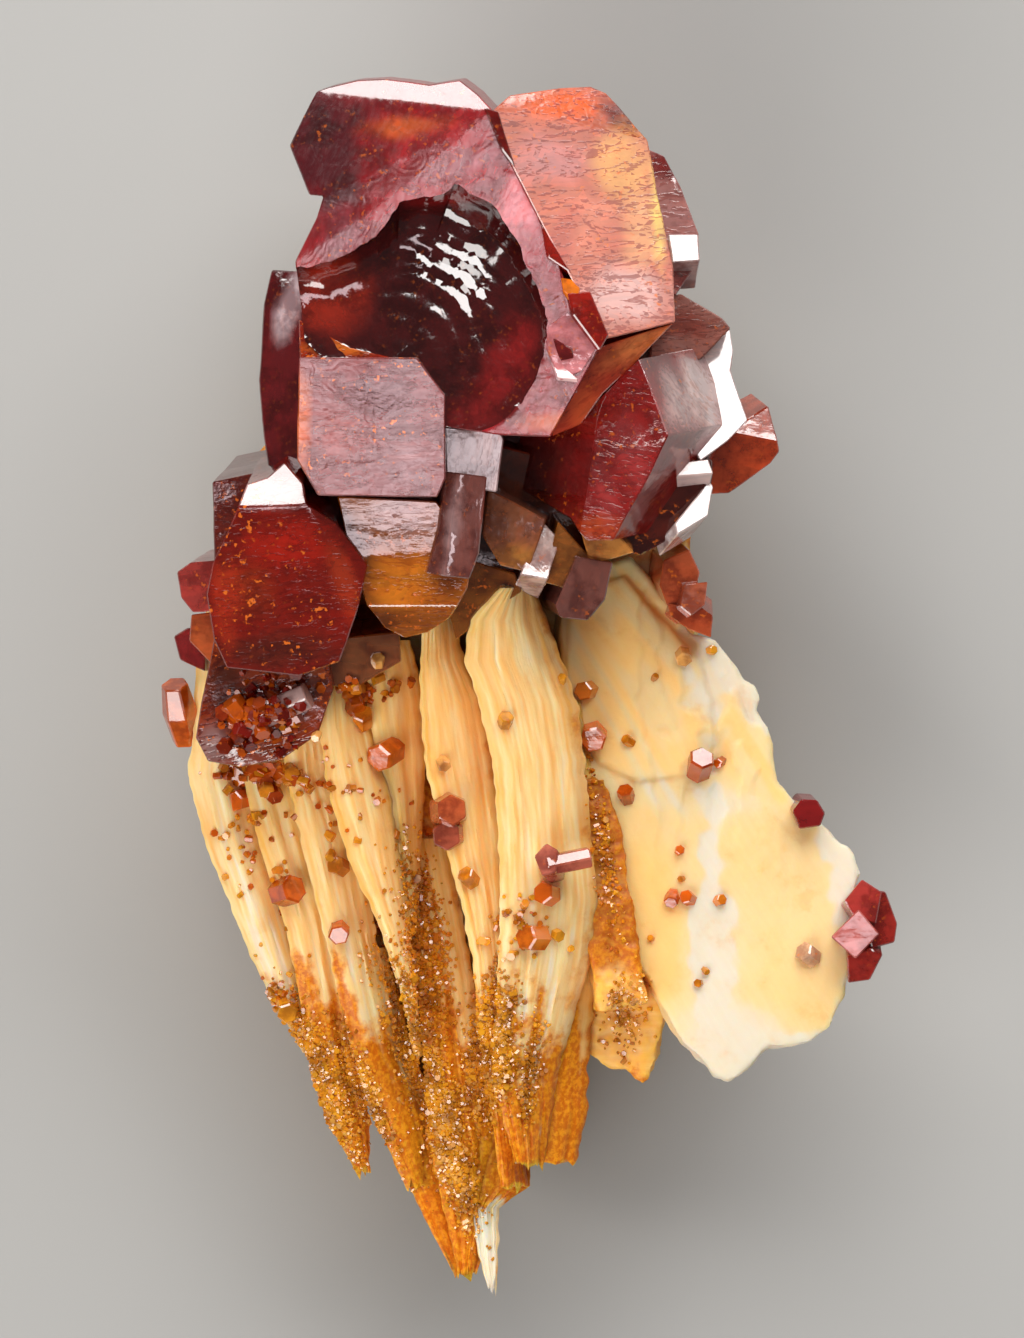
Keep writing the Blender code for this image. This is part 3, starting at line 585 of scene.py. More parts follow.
@dataclass(frozen=True)
class Bar:
    """A hexagonal prism between two points (column, row, height), its radius in pixels."""

    foot: tuple[float, float, float]
    head: tuple[float, float, float]
    radius: float
    turn: float = 0.0
    barrel: float = 1.0
    body: Colour = (0.45, 0.07, 0.05)
    clarity: float = 0.3
    glow: float = 0.3
    grain: float = 0.0
    rough: float = 0.06
    lined: float = 0.0
    patches: tuple[Patch, ...] = ()

    def grow(self, owner: int) -> bpy.types.Object:
        """Models the bar as a six-sided prism, narrowed at both ends where it is a barrel.

        Args:
            owner: the bar's number, kept on its faces.

        Returns:
            The bar as a closed piece.
        """
        foot, head = at(*self.foot), at(*self.head)
        axis = head - foot
        radius = self.radius * PIXEL
        clear_selection()
        bpy.ops.mesh.primitive_cylinder_add(vertices=6, radius=radius, depth=axis.length)
        piece = bpy.context.object
        if self.barrel < 1:
            bpy.ops.object.mode_set(mode="EDIT")
            bpy.ops.mesh.select_all(action="SELECT")
            bpy.ops.mesh.bisect(plane_co=(0, 0, 0), plane_no=(0, 0, 1))
            bpy.ops.object.mode_set(mode="OBJECT")
            for vert in piece.data.vertices:
                if abs(vert.co.z) > radius * 0.1:
                    vert.co.xy = vert.co.xy * self.barrel
        place = Matrix.Translation((foot + head) / 2) @ axis.to_track_quat("Z", "Y").to_matrix().to_4x4()
        piece.data.transform(place @ Matrix.Rotation(math.radians(self.turn), 4, "Z"))
        apply_modifier(piece, "BEVEL", width=EDGE_EASE, segments=1, limit_method="ANGLE")
        own(piece, owner)
        return piece


# How wide the crystals' edges are eased, in metres
EDGE_EASE = 0.00005

GIANT = Crystal(
    face=(
        (318, 97), (291, 151), (311, 200), (325, 201), (318, 222), (297, 265), (301, 300), (306, 345),
        (380, 410), (445, 429), (500, 437), (550, 439), (575, 395), (598, 352), (567, 290), (545, 235),
        (512, 170), (493, 116), (478, 100), (460, 86), (447, 88), (430, 91), (410, 88), (385, 85), (358, 86),
        (333, 92),
    ),
    height=17.9,
    facing=(-0.02, -0.045, 1.0),
    length=10.6,
    bevels=(
        ((330, 129), (480, 113), 31), ((338, 270), (500, 138), 2.5), ((326, 256), (488, 124), 5),
        ((314, 242), (476, 110), 10),
    ),
    body=(0.36, 0.008, 0.012),
    glow=0.5,
    grain=68.0,
    rough=0.18,
    patches=(
        Patch((325, 150), (64, 84), (0.075, 0.004, 0.008), 0.95),
        Patch((405, 132), (48, 12), (0.65, 0.12, 0.02), 0.75, 6.0),
        Patch((440, 165), (60, 34), (0.52, 0.035, 0.040), 0.7, 30.0),
        # painted sheen: pink reflection beside and above the hollow and in a soft band to the lower left
        Patch((522, 215), (26, 84), (0.86, 0.22, 0.25), 0.9, -25.0),
        Patch((460, 170), (60, 10), (0.60, 0.20, 0.24), 0.6, 18.0),
        Patch((345, 235), (26, 26), (0.40, 0.10, 0.13), 0.5, 30.0),
        Patch((315, 275), (26, 20), (0.30, 0.012, 0.008), 0.7),
        Patch((540, 390), (44, 50), (0.30, 0.010, 0.010), 0.85),
        Patch((555, 425), (34, 12), (0.80, 0.16, 0.02), 0.7),
    ),
)
BLOCK = Crystal(
    face=(
        (493, 116), (510, 100), (560, 92), (590, 90), (606, 97), (625, 118), (647, 143), (655, 190),
        (672, 270), (674, 325), (605, 342), (580, 300), (545, 235), (512, 170),
    ),
    height=17.1,
    facing=(0.38, 0.15, 0.91),
    rough=0.14,
    lined=1.0,
    length=9.4,
    run=(0.06, 0.05, 1.0),
    narrowing=0.88,
    bevels=(((500, 132), (647, 152), 5),),
    body=(0.62, 0.14, 0.070),
    clarity=0.25,
    glow=0.9,
    grain=6.0,
    patches=(
        Patch((555, 110), (50, 19), (0.92, 0.13, 0.008), 0.97, -2.0),
        Patch((622, 124), (30, 15), (0.16, 0.006, 0.006), 0.95, -40.0),
        Patch((548, 165), (44, 28), (0.62, 0.24, 0.24), 0.7),
        Patch((622, 170), (34, 46), (1.0, 0.46, 0.11), 0.85),
        # painted glow: yellow light through the thin right edge
        Patch((640, 235), (22, 44), (0.95, 0.42, 0.16), 0.8),
        Patch((657, 225), (6, 66), (1.0, 0.66, 0.12), 0.95, 4.0),
        Patch((580, 225), (44, 34), (0.86, 0.26, 0.14), 0.7),
        Patch((555, 250), (18, 50), (0.50, 0.05, 0.03), 0.6, -25.0),
        # painted sheen: pale pink reflection on the lower part of the face
        Patch((625, 300), (60, 30), (0.88, 0.52, 0.48), 0.85),
    ),
)
FOOT = Crystal(
    face=((598, 350), (672, 326), (642, 358), (602, 396), (581, 426), (552, 438), (560, 380)),
    height=16.2,
    facing=(0.30, -0.50, 0.81),
    length=7.0,
    run=(0.02, -0.10, 1.0),
    body=(0.52, 0.055, 0.020),
    glow=0.9,
    grain=40.0,
    lined=0.4,
    patches=(
        Patch((640, 348), (44, 16), (0.95, 0.28, 0.08), 0.9, 25.0),
        Patch((585, 410), (20, 24), (0.75, 0.12, 0.03), 0.7),
    ),
)


FACET_LENGTH = 1.4


def facet(
    host: Crystal, outline: tuple[Point, ...], body: Colour, facing: Direction, proud: float
) -> Crystal:
    """Lays a small facet of its own colour on a crystal's end face.

    Args:
        host: the crystal that carries it.
        outline: its outline in picture points.
        body: its colour.
        facing: the way it looks.
        proud: how far it stands above the host's face in mm.

    Returns:
        The facet as a short crystal.
    """
    middle = np.array(outline, dtype=float).mean(axis=0)
    height = host.on_face(tuple(middle)).z / MM + proud
    return Crystal(outline, height, facing, FACET_LENGTH, body=body, clarity=0.25, glow=0.5)


SEAM_FACETS = (
    facet(
        GIANT, ((485, 113), (499, 117), (515, 172), (503, 156)), (0.16, 0.006, 0.004), (0.25, 0.12, 1.0), 0.16
    ),
    facet(GIANT, ((541, 228), (572, 278), (548, 262)), (0.28, 0.010, 0.004), (0.25, 0.12, 1.0), 0.16),
    facet(
        GIANT, ((560, 281), (572, 283), (580, 292), (577, 304), (570, 306), (563, 296)), (0.85, 0.20, 0.01),
        (0.1, 0.20, 1.0), 0.16,
    ),
    facet(
        GIANT, ((567, 297), (590, 295), (608, 338), (599, 354), (573, 319)), (0.30, 0.010, 0.004),
        (0.25, 0.12, 1.0), 0.22,
    ),
    # pink facet: its body is painted sheen
    facet(
        GIANT, ((548, 330), (572, 311), (597, 350), (582, 374), (560, 384), (546, 352)), (0.72, 0.25, 0.27),
        (0.05, 0.02, 1.0), 0.08,
    ),
    facet(
        GIANT, ((553, 342), (572, 352), (577, 374), (560, 366)), (0.20, 0.012, 0.014), (0.1, -0.2, 1.0), 0.14
    ),
    # white-pink facet: its body is a painted reflection
    facet(GIANT, ((547, 352), (560, 366), (578, 382), (556, 380)), (0.85, 0.55, 0.56), (0.0, 0.4, 1.0), 0.12),
)

LEFT_CRYSTALS = (
    Crystal(
        face=(
            (272, 270), (264, 305), (259, 380), (262, 420), (268, 466), (296, 472), (320, 460), (320, 300),
            (298, 271),
        ),
        height=12.8, facing=(-0.45, 0.06, 0.89), length=6.2, run=(-0.12, 0.02, 1.0),
        bevels=(((272, 270), (300, 352), 27),),
        body=(0.16, 0.010, 0.012), grain=88.0, glow=0.2,
        # painted reflection: pale lilac sheen on the bevelled facet
        patches=(Patch((291, 302), (12, 40), (0.86, 0.68, 0.72), 1.0, -20.0),),
    ),
    Crystal(
        face=((301, 360), (418, 361), (446, 398), (446, 480), (438, 499), (320, 497), (299, 462)),
        height=17.85, facing=(-0.01, -0.035, 1.0), length=8.0, body=(0.26, 0.055, 0.055), clarity=0.25,
        glow=1.3, grain=2.0, rough=0.16, lined=0.35,
        patches=(
            Patch((304, 430), (8, 56), (0.85, 0.16, 0.008), 0.9),
            Patch((345, 440), (44, 30), (0.34, 0.035, 0.02), 0.7),
            Patch((385, 400), (50, 24), (0.13, 0.035, 0.04), 0.75),
            Patch((405, 465), (34, 26), (0.36, 0.17, 0.18), 0.7),
            # painted sheen: pinkish-grey reflection across the upper face
            Patch((350, 375), (50, 12), (0.34, 0.11, 0.12), 0.6),
        ),
    ),
    Crystal(
        face=((405, 353), (446, 357), (450, 430), (400, 430)),
        height=16.2, facing=(0.05, -0.05, 1.0), length=6.0, body=(0.12, 0.008, 0.008),
    ),
    Crystal(
        face=((300, 322), (318, 330), (352, 350), (408, 364), (440, 420), (303, 420)),
        height=17.1, facing=(-0.10, 0.10, 0.98), length=8.5, body=(0.32, 0.020, 0.006), glow=1.5, lined=0.8,
        patches=(Patch((350, 350), (50, 8), (0.80, 0.20, 0.02), 0.85),),
    ),
    Crystal(
        face=(
            (338, 498), (437, 503), (474, 556), (468, 588), (450, 620), (428, 637), (405, 643), (385, 631),
            (368, 606), (352, 560),
        ),
        height=14.9, facing=(0.0, -0.16, 0.98), length=7.5, narrowing=0.85,
        bevels=(((340, 543), (474, 543), 8), ((470, 606), (360, 610), 34)),
        body=(0.48, 0.13, 0.010), clarity=0.25, glow=1.6, lined=0.5,
        patches=(
            # painted reflection: white-pink sheen on the top bevel, which lies in shade
            Patch((398, 518), (50, 20), (0.60, 0.34, 0.30), 0.95),
            Patch((405, 585), (40, 30), (0.72, 0.22, 0.012), 0.8),
            Patch((450, 570), (16, 40), (0.24, 0.05, 0.005), 0.7),
            Patch((380, 622), (30, 16), (0.13, 0.030, 0.004), 0.8),
        ),
    ),
    # its pale body, with no clarity, is a painted silvery reflection
    Crystal(
        face=((445, 428), (500, 434), (504, 440), (497, 493), (487, 492), (447, 485)),
        height=15.6, facing=(0.0, -0.022, 1.0), length=7.0, body=(0.55, 0.42, 0.42), clarity=0.0,
        rough=0.10, lined=0.5, grain=80.0, glow=0.0,
    ),
    Crystal(
        face=((447, 473), (487, 478), (483, 520), (479, 555), (470, 580), (428, 575), (440, 530)),
        height=16.0, facing=(0.10, -0.06, 0.99), length=6.5,
        bevels=(((444, 580), (459, 470), 46),),
        body=(0.24, 0.075, 0.060), grain=85.0, glow=0.4,
        patches=(Patch((452, 530), (8, 60), (0.48, 0.30, 0.30), 0.7, -8.0),),
    ),
    Crystal(
        face=(
            (240, 508), (248, 487), (268, 481), (285, 467), (304, 487), (308, 506), (338, 525), (369, 567),
            (358, 612), (340, 662), (300, 676), (228, 668), (215, 640), (208, 595), (214, 565),
        ),
        height=15.6, facing=(-0.03, -0.17, 0.985), length=8.0, narrowing=0.92,
        bevels=(((230, 509), (330, 506), 36), ((308, 500), (372, 600), 20)),
        body=(0.24, 0.008, 0.002), glow=2.4, grain=4.0, lined=0.5,
        patches=(
            Patch((268, 492), (40, 16), (0.60, 0.30, 0.28), 0.85),
            Patch((285, 650), (70, 22), (0.10, 0.014, 0.006), 0.8),
            Patch((290, 545), (50, 26), (0.50, 0.016, 0.004), 0.85),
            Patch((250, 590), (26, 30), (0.34, 0.030, 0.004), 0.7),
            Patch((228, 600), (14, 50), (0.50, 0.035, 0.008), 0.7),
            Patch((345, 580), (14, 44), (0.52, 0.05, 0.012), 0.7, 20.0),
        ),
    ),
    Crystal(
        face=((212, 482), (268, 470), (300, 490), (270, 580), (214, 562)),
        height=12.2, facing=(-0.05, 0.02, 1.0), length=6.5, run=(-0.12, -0.16, 0.98),
        body=(0.15, 0.016, 0.008), glow=0.9, lined=0.6,
    ),
    Crystal(
        face=(
            (214, 640), (325, 640), (334, 690), (318, 735), (280, 764), (238, 772), (206, 765), (196, 738),
            (202, 700),
        ),
        height=12.9, facing=(-0.04, -0.09, 1.0), length=5.2, run=(-0.10, -0.22, 0.97), narrowing=0.9,
        bevels=(((330, 735), (196, 742), 30),),
        body=(0.24, 0.030, 0.004), clarity=0.2, glow=3.0, lined=0.9, grain=20.0,
        patches=(
            Patch((290, 665), (36, 24), (0.50, 0.10, 0.010), 0.8),
            Patch((215, 745), (18, 26), (0.34, 0.20, 0.19), 0.8),
            Patch((225, 690), (20, 34), (0.05, 0.010, 0.004), 0.8),
        ),
    ),
    Crystal(
        face=((176, 572), (190, 562), (216, 560), (216, 612), (192, 613), (180, 598)),
        height=11.4, facing=(-0.16, -0.12, 0.98), length=4.2, body=(0.42, 0.05, 0.04), glow=0.8,
    ),
    Crystal(
        face=((190, 614), (222, 610), (226, 650), (210, 664), (188, 641)),
        height=10.9, facing=(-0.20, 0.05, 0.98), length=3.4, body=(0.60, 0.12, 0.03), glow=1.0,
    ),
    Crystal(
        face=((172, 636), (187, 627), (204, 640), (204, 672), (178, 660)),
        height=9.8, facing=(-0.25, 0.0, 0.97), length=2.6, body=(0.30, 0.02, 0.02),
    ),
    Crystal(
        face=((322, 640), (400, 632), (402, 662), (352, 690), (320, 684)),
        height=12.4, facing=(0.05, -0.25, 0.96), length=4.6, body=(0.38, 0.12, 0.04), clarity=0.5, glow=0.6,
    ),
    Bar(
        foot=(243, 723, 12.9), head=(309, 695, 13.6), radius=15, turn=10, body=(0.62, 0.40, 0.37), grain=23.0
    ),
)
RIGHT_CRYSTALS = (
    Crystal(
        face=(
            (638, 360), (650, 390), (667, 437), (648, 477), (612, 541), (586, 541), (566, 519), (497, 491),
            (500, 438), (552, 436), (600, 398),
        ),
        height=15.2, facing=(-0.42, -0.09, 0.90), length=5.6,
        bevels=(((578, 545), (606, 390), 24),),
        body=(0.30, 0.014, 0.012), clarity=0.35, glow=0.7, grain=-8.0, lined=0.45,
        patches=(
            Patch((540, 465), (52, 46), (0.10, 0.003, 0.002), 0.95),
            Patch((600, 528), (26, 14), (0.70, 0.10, 0.02), 0.7),
            Patch((628, 450), (22, 46), (0.42, 0.050, 0.050), 0.7, 20.0),
            Patch((604, 490), (12, 46), (0.46, 0.06, 0.06), 0.5, 12.0),
            # painted reflection: grey-pink sheen on the striated side
            Patch((704, 392), (40, 50), (0.80, 0.62, 0.60), 0.97),
        ),
    ),
    Crystal(
        face=((640, 145), (665, 155), (681, 186), (699, 233), (700, 261), (676, 296), (650, 280)),
        height=11.6, facing=(0.22, 0.16, 0.96), length=6.0, body=(0.50, 0.22, 0.20), lined=0.5,
        patches=(
            Patch((664, 165), (22, 22), (0.20, 0.010, 0.010), 0.9),
            Patch((685, 285), (24, 16), (0.22, 0.012, 0.008), 0.8),
        ),
    ),
    # pale body: painted reflection of the right light
    Crystal(
        face=((668, 234), (698, 234), (700, 261), (672, 263)),
        height=12.3, facing=(0.06, 0.42, 0.91), length=2.4, body=(0.85, 0.72, 0.72),
    ),
    Crystal(
        face=((655, 300), (681, 293), (722, 318), (731, 328), (700, 360), (650, 360)),
        height=11.9, facing=(0.06, 0.10, 0.99), length=5.6, body=(0.36, 0.15, 0.12), lined=0.6, glow=0.8,
        patches=(Patch((690, 325), (30, 16), (0.24, 0.03, 0.015), 0.7),),
    ),
    # pale body: painted reflection, the white strip down the right side
    Crystal(
        face=(
            (690, 345), (731, 328), (734, 350), (731, 370), (748, 420), (728, 441), (700, 462), (680, 420),
        ),
        height=11.6, facing=(0.16, 0.40, 0.90), length=4.8, run=(0.20, 0.08, 1.0), body=(0.85, 0.72, 0.72),
    ),
    # pale body: painted reflection on the top ledge
    Crystal(
        face=((648, 467), (708, 459), (713, 474), (652, 479)),
        height=13.3, facing=(0.10, 0.45, 0.89), length=2.6, body=(0.80, 0.62, 0.60),
    ),
    # pale body: painted reflection
    Crystal(
        face=((709, 480), (714, 486), (708, 516), (677, 535), (674, 524), (696, 497)),
        height=12.9, facing=(0.30, 0.36, 0.88), length=2.2, body=(0.85, 0.72, 0.70),
    ),
    Crystal(
        face=(
            (640, 466), (712, 460), (713, 486), (708, 516), (677, 535), (640, 556), (612, 548), (600, 500),
        ),
        height=12.6, facing=(0.10, -0.14, 0.98), length=6.0,
        bevels=(((712, 474), (672, 532), 46),),
        body=(0.10, 0.012, 0.006), glow=0.9,
    ),
    Crystal(
        face=((742, 424), (772, 408), (779, 440), (781, 451), (772, 463), (730, 493), (700, 494), (700, 450)),
        height=9.8, facing=(0.20, -0.20, 0.96), length=3.4,
        bevels=(((736, 432), (782, 443), 24),),
        body=(0.56, 0.075, 0.020),
    ),
)
MIDDLE_CRYSTALS = (
    Crystal(
        face=((488, 490), (546, 520), (528, 573), (500, 566), (482, 535)),
        height=14.2, facing=(-0.08, -0.09, 0.99), length=5.5, body=(0.28, 0.085, 0.030), clarity=0.25,
        rough=0.10, grain=60.0,
        patches=(Patch((512, 560), (26, 16), (0.50, 0.20, 0.03), 0.8),),
    ),
    # pale body: painted reflection of the top light
    Crystal(
        face=((540, 519), (560, 540), (548, 580), (520, 575)),
        height=14.0, facing=(0.12, 0.25, 0.95), length=5.0, body=(0.80, 0.60, 0.55), grain=60.0,
    ),
    Crystal(
        face=((558, 522), (592, 560), (576, 592), (543, 583)),
        height=13.7, facing=(0.10, -0.20, 0.97), length=5.0, body=(0.36, 0.12, 0.020), clarity=0.4,
    ),
    Crystal(
        face=((576, 556), (613, 563), (605, 600), (588, 621), (560, 618), (555, 606)),
        height=13.9, facing=(0.12, -0.08, 0.98), length=5.0, body=(0.20, 0.070, 0.055), grain=70.0,
    ),
    Crystal(
        face=((440, 575), (470, 560), (515, 574), (522, 592), (480, 622), (456, 640)),
        height=12.8, facing=(0.05, -0.20, 0.97), length=4.6, body=(0.30, 0.09, 0.010), clarity=0.4,
        glow=1.0,
    ),
    Crystal(
        face=((580, 530), (613, 530), (634, 553), (590, 566)),
        height=13.9, facing=(0.05, -0.30, 0.95), length=4.6, body=(0.75, 0.30, 0.06), glow=1.0,
    ),
    Crystal(
        face=((330, 470), (470, 440), (600, 470), (600, 560), (480, 590), (330, 590)),
        height=12.0, facing=(0.0, -0.22, 0.97), length=6.0, body=(0.20, 0.035, 0.006), rough=0.08,
    ),
    Crystal(
        face=((300, 300), (420, 240), (620, 240), (660, 330), (640, 460), (420, 480), (290, 440)),
        height=11.0, facing=(0.05, 0.08, 1.0), length=5.6, body=(0.10, 0.006, 0.003),
    ),
)
SHOULDER_CRYSTALS = (
    Crystal(
        face=((664, 560), (690, 549), (701, 572), (692, 612), (668, 606), (660, 585)),
        height=9.8, facing=(0.15, -0.15, 0.97), length=3.0, body=(0.62, 0.12, 0.04), glow=1.0,
    ),
    Crystal(
        face=((684, 584), (709, 581), (706, 605), (692, 616), (680, 606)),
        height=10.1, facing=(0.25, 0.15, 0.95), length=2.6, body=(0.66, 0.16, 0.07), glow=0.8,
    ),
    Crystal(
        face=((668, 604), (700, 606), (714, 616), (712, 638), (690, 630), (672, 618)),
        height=9.7, facing=(0.0, -0.25, 0.96), length=2.5, body=(0.60, 0.10, 0.03), glow=0.8,
    ),
)
PLATE_EDGE_CLUSTER = (
    Crystal(
        face=((832, 938), (860, 910), (881, 935), (857, 960)),
        height=9.6, facing=(-0.05, 0.02, 1.0), length=2.7, body=(0.62, 0.16, 0.14),
    ),
    Crystal(
        face=((846, 902), (864, 880), (884, 893), (878, 925), (856, 918)),
        height=9.0, facing=(0.10, 0.12, 0.98), length=2.4, body=(0.50, 0.05, 0.04),
    ),
    Crystal(
        face=((872, 890), (888, 893), (900, 925), (897, 944), (874, 950), (866, 920)),
        height=8.7, facing=(0.45, 0.0, 0.89), length=2.3, run=(0.15, 0.0, 1.0), body=(0.42, 0.03, 0.02),
    ),
    Crystal(
        face=((849, 958), (872, 950), (885, 956), (872, 982), (850, 985)),
        height=8.8, facing=(0.05, -0.35, 0.93), length=2.1, body=(0.45, 0.03, 0.02),
    ),
)
PLATE_EDGE_CRYSTAL = (
    Crystal(
        face=((794, 812), (803, 800), (819, 801), (827, 814), (822, 827), (801, 830)),
        height=8.9, facing=(0.10, -0.12, 0.98), length=1.9, body=(0.22, 0.01, 0.01), clarity=0.2,
    ),
)
BLADE_BAR = (
    Bar(
        foot=(546, 866, 11.75), head=(590, 857, 11.5), radius=11.5, turn=8, body=(0.60, 0.16, 0.10),
        grain=10.0,
    ),
    Crystal(
        face=((534, 856), (546, 843), (558, 850), (556, 872), (542, 876)),
        height=12.0, facing=(-0.20, 0.20, 0.95), length=1.6, body=(0.62, 0.18, 0.12),
    ),
)
BLADE_KNOB = (
    Bar(
        foot=(444, 812, 9.6), head=(452, 810, 11.8), radius=21, turn=20, barrel=0.75,
        body=(0.62, 0.13, 0.04),
    ),
    Bar(foot=(452, 832, 9.6), head=(446, 836, 11.3), radius=19, barrel=0.8, body=(0.55, 0.12, 0.06)),
)
LEFT_EDGE = (
    Bar(
        foot=(184, 742, 7.9), head=(173, 684, 9.3), radius=19, turn=14, barrel=0.74,
        body=(0.80, 0.15, 0.012),
    ),
)

# The broken hollow: its rim, the point that its ripples run round and its deepest point
HOLLOW_RIM = (
    (230, 276), (298, 272), (330, 267), (347, 259), (362, 250), (378, 240), (388, 226), (396, 214),
    (401, 205), (418, 203), (440, 199), (449, 194), (457, 187), (464, 192), (474, 200), (487, 204),
    (497, 216), (502, 224), (515, 240), (524, 262), (540, 300), (549, 325), (545, 350), (538, 378),
    (526, 402), (500, 428), (440, 445), (340, 455), (230, 430),
)
HOLLOW_SOURCE = (392, 372)
HOLLOW_SHINE = ((474, 268), (56, 72))
HOLLOW_DEPTH = 1.9
HOLLOW_ROWS = (190.0, 425.0)
HOLLOW_TOP = 19.2
HOLLOW_RINGS = 34
HOLLOW_ROUND = 150
HOLLOW_RAGGED = 1.6
HOLLOW_OWNER = 900
HOLLOW_SKIN = Crystal(
    face=HOLLOW_RIM,
    height=16.0,
    facing=(0.0, 0.0, 1.0),
    length=1.0,
    body=(0.050, 0.004, 0.004),
    clarity=0.2,
    glow=0.15,
    grain=-45.0,
    patches=(
        Patch((330, 300), (44, 40), (0.30, 0.020, 0.008), 0.9, 30.0),
        Patch((450, 200), (70, 10), (0.22, 0.006, 0.006), 0.8),
        Patch((510, 370), (30, 60), (0.20, 0.008, 0.008), 0.8, -30.0),
        Patch((460, 420), (60, 18), (0.16, 0.008, 0.008), 0.7),
    ),
)
RIPPLE_HIGH = 0.095
RIPPLE_LONG = 21.0


class Hollow:
    """The shell-shaped break in the giant crystal's face."""

    def tool(self) -> bpy.types.Object:
        """Models the broken-out chip, whose underside is the rippled shell.

        Returns:
            The chip, to cut out of the giant crystal.
        """
        rim = self.rim()
        source = np.array(HOLLOW_SOURCE, dtype=float)
        points = []
        for ring in range(1, HOLLOW_RINGS + 1):
            share = ring / HOLLOW_RINGS
            for corner in rim:
                column, row = source + (corner - source) * share
                points.append(at(column, row, self.height(column, row, share)))
        top = [at(corner[0], corner[1], HOLLOW_TOP) for corner in rim]
        points += top
        points.append(at(*HOLLOW_SOURCE, self.height(*HOLLOW_SOURCE, 0.0)))
        points.append(at(*HOLLOW_SOURCE, HOLLOW_TOP))
        faces = []
        count = len(rim)
        for ring in range(HOLLOW_RINGS):
            for index in range(count):
                following = (index + 1) % count
                low = ring * count
                faces.append((low + index, low + following, low + count + following, low + count + index))
        low_middle, top_middle = len(points) - 2, len(points) - 1
        last = HOLLOW_RINGS * count
        for index in range(count):
            following = (index + 1) % count
            faces.append((low_middle, following, index))
            faces.append((top_middle, last + index, last + following))
        chip = from_arrays("chip", np.array(points), faces)
        face_outward(chip)
        own(chip, HOLLOW_OWNER)
        return chip

    def rim(self) -> np.ndarray:
        """Spaces points evenly along the rim, in pixels, a little ragged."""
        corners = np.array(HOLLOW_RIM + HOLLOW_RIM[:1], dtype=float)
        lengths = np.hypot(*np.diff(corners, axis=0).T)
        along = np.concatenate(([0], np.cumsum(lengths)))
        wanted = np.linspace(0, along[-1], HOLLOW_ROUND, endpoint=False)
        rim = np.stack([np.interp(wanted, along, corners[:, axis]) for axis in (0, 1)], axis=1)
        rng = np.random.default_rng(5)
        return rim + rng.uniform(-HOLLOW_RAGGED, HOLLOW_RAGGED, rim.shape)

    def height(self, column: float, row: float, share: float) -> float:
        """Gives the shell's height in mm at a picture point."""
        face = GIANT.on_face((column, row)).z / MM
        if share >= 1:
            return face + 0.02
        away = math.hypot(column - HOLLOW_SOURCE[0], row - HOLLOW_SOURCE[1])
        ribs = math.sin(away / RIPPLE_LONG * math.tau + 2.5 * wave(column / 40, row / 40, 2.0))
        patchy = wave(column / 30, row / 30, 7.0) + 0.7
        centre, reach = HOLLOW_SHINE
        spread = ((column - centre[0]) / reach[0]) ** 2 + ((row - centre[1]) / reach[1]) ** 2
        rough = wave(column / 14, row / 14, 4.0) * 0.012
        low, high = HOLLOW_ROWS
        rise = min(1.0, max(0.0, (high - row) / (high - low)))
        bowl = (0.04 + HOLLOW_DEPTH * rise) * (1 - share**9)
        relief = ribs * RIPPLE_HIGH * (0.04 + math.exp(-spread) * max(0.0, patchy)) + rough
        return face - bowl + relief * min(1.0, (1 - share) * 8)


# How far apart neighbouring crystals' striations are read from the pattern, in metres
GRAIN_SHIFT = 0.003


class Face(Enum):
    """How high the growth relief on a group's faces is, in mm."""

    LARGE = 0.028
    SMALL = 0.012


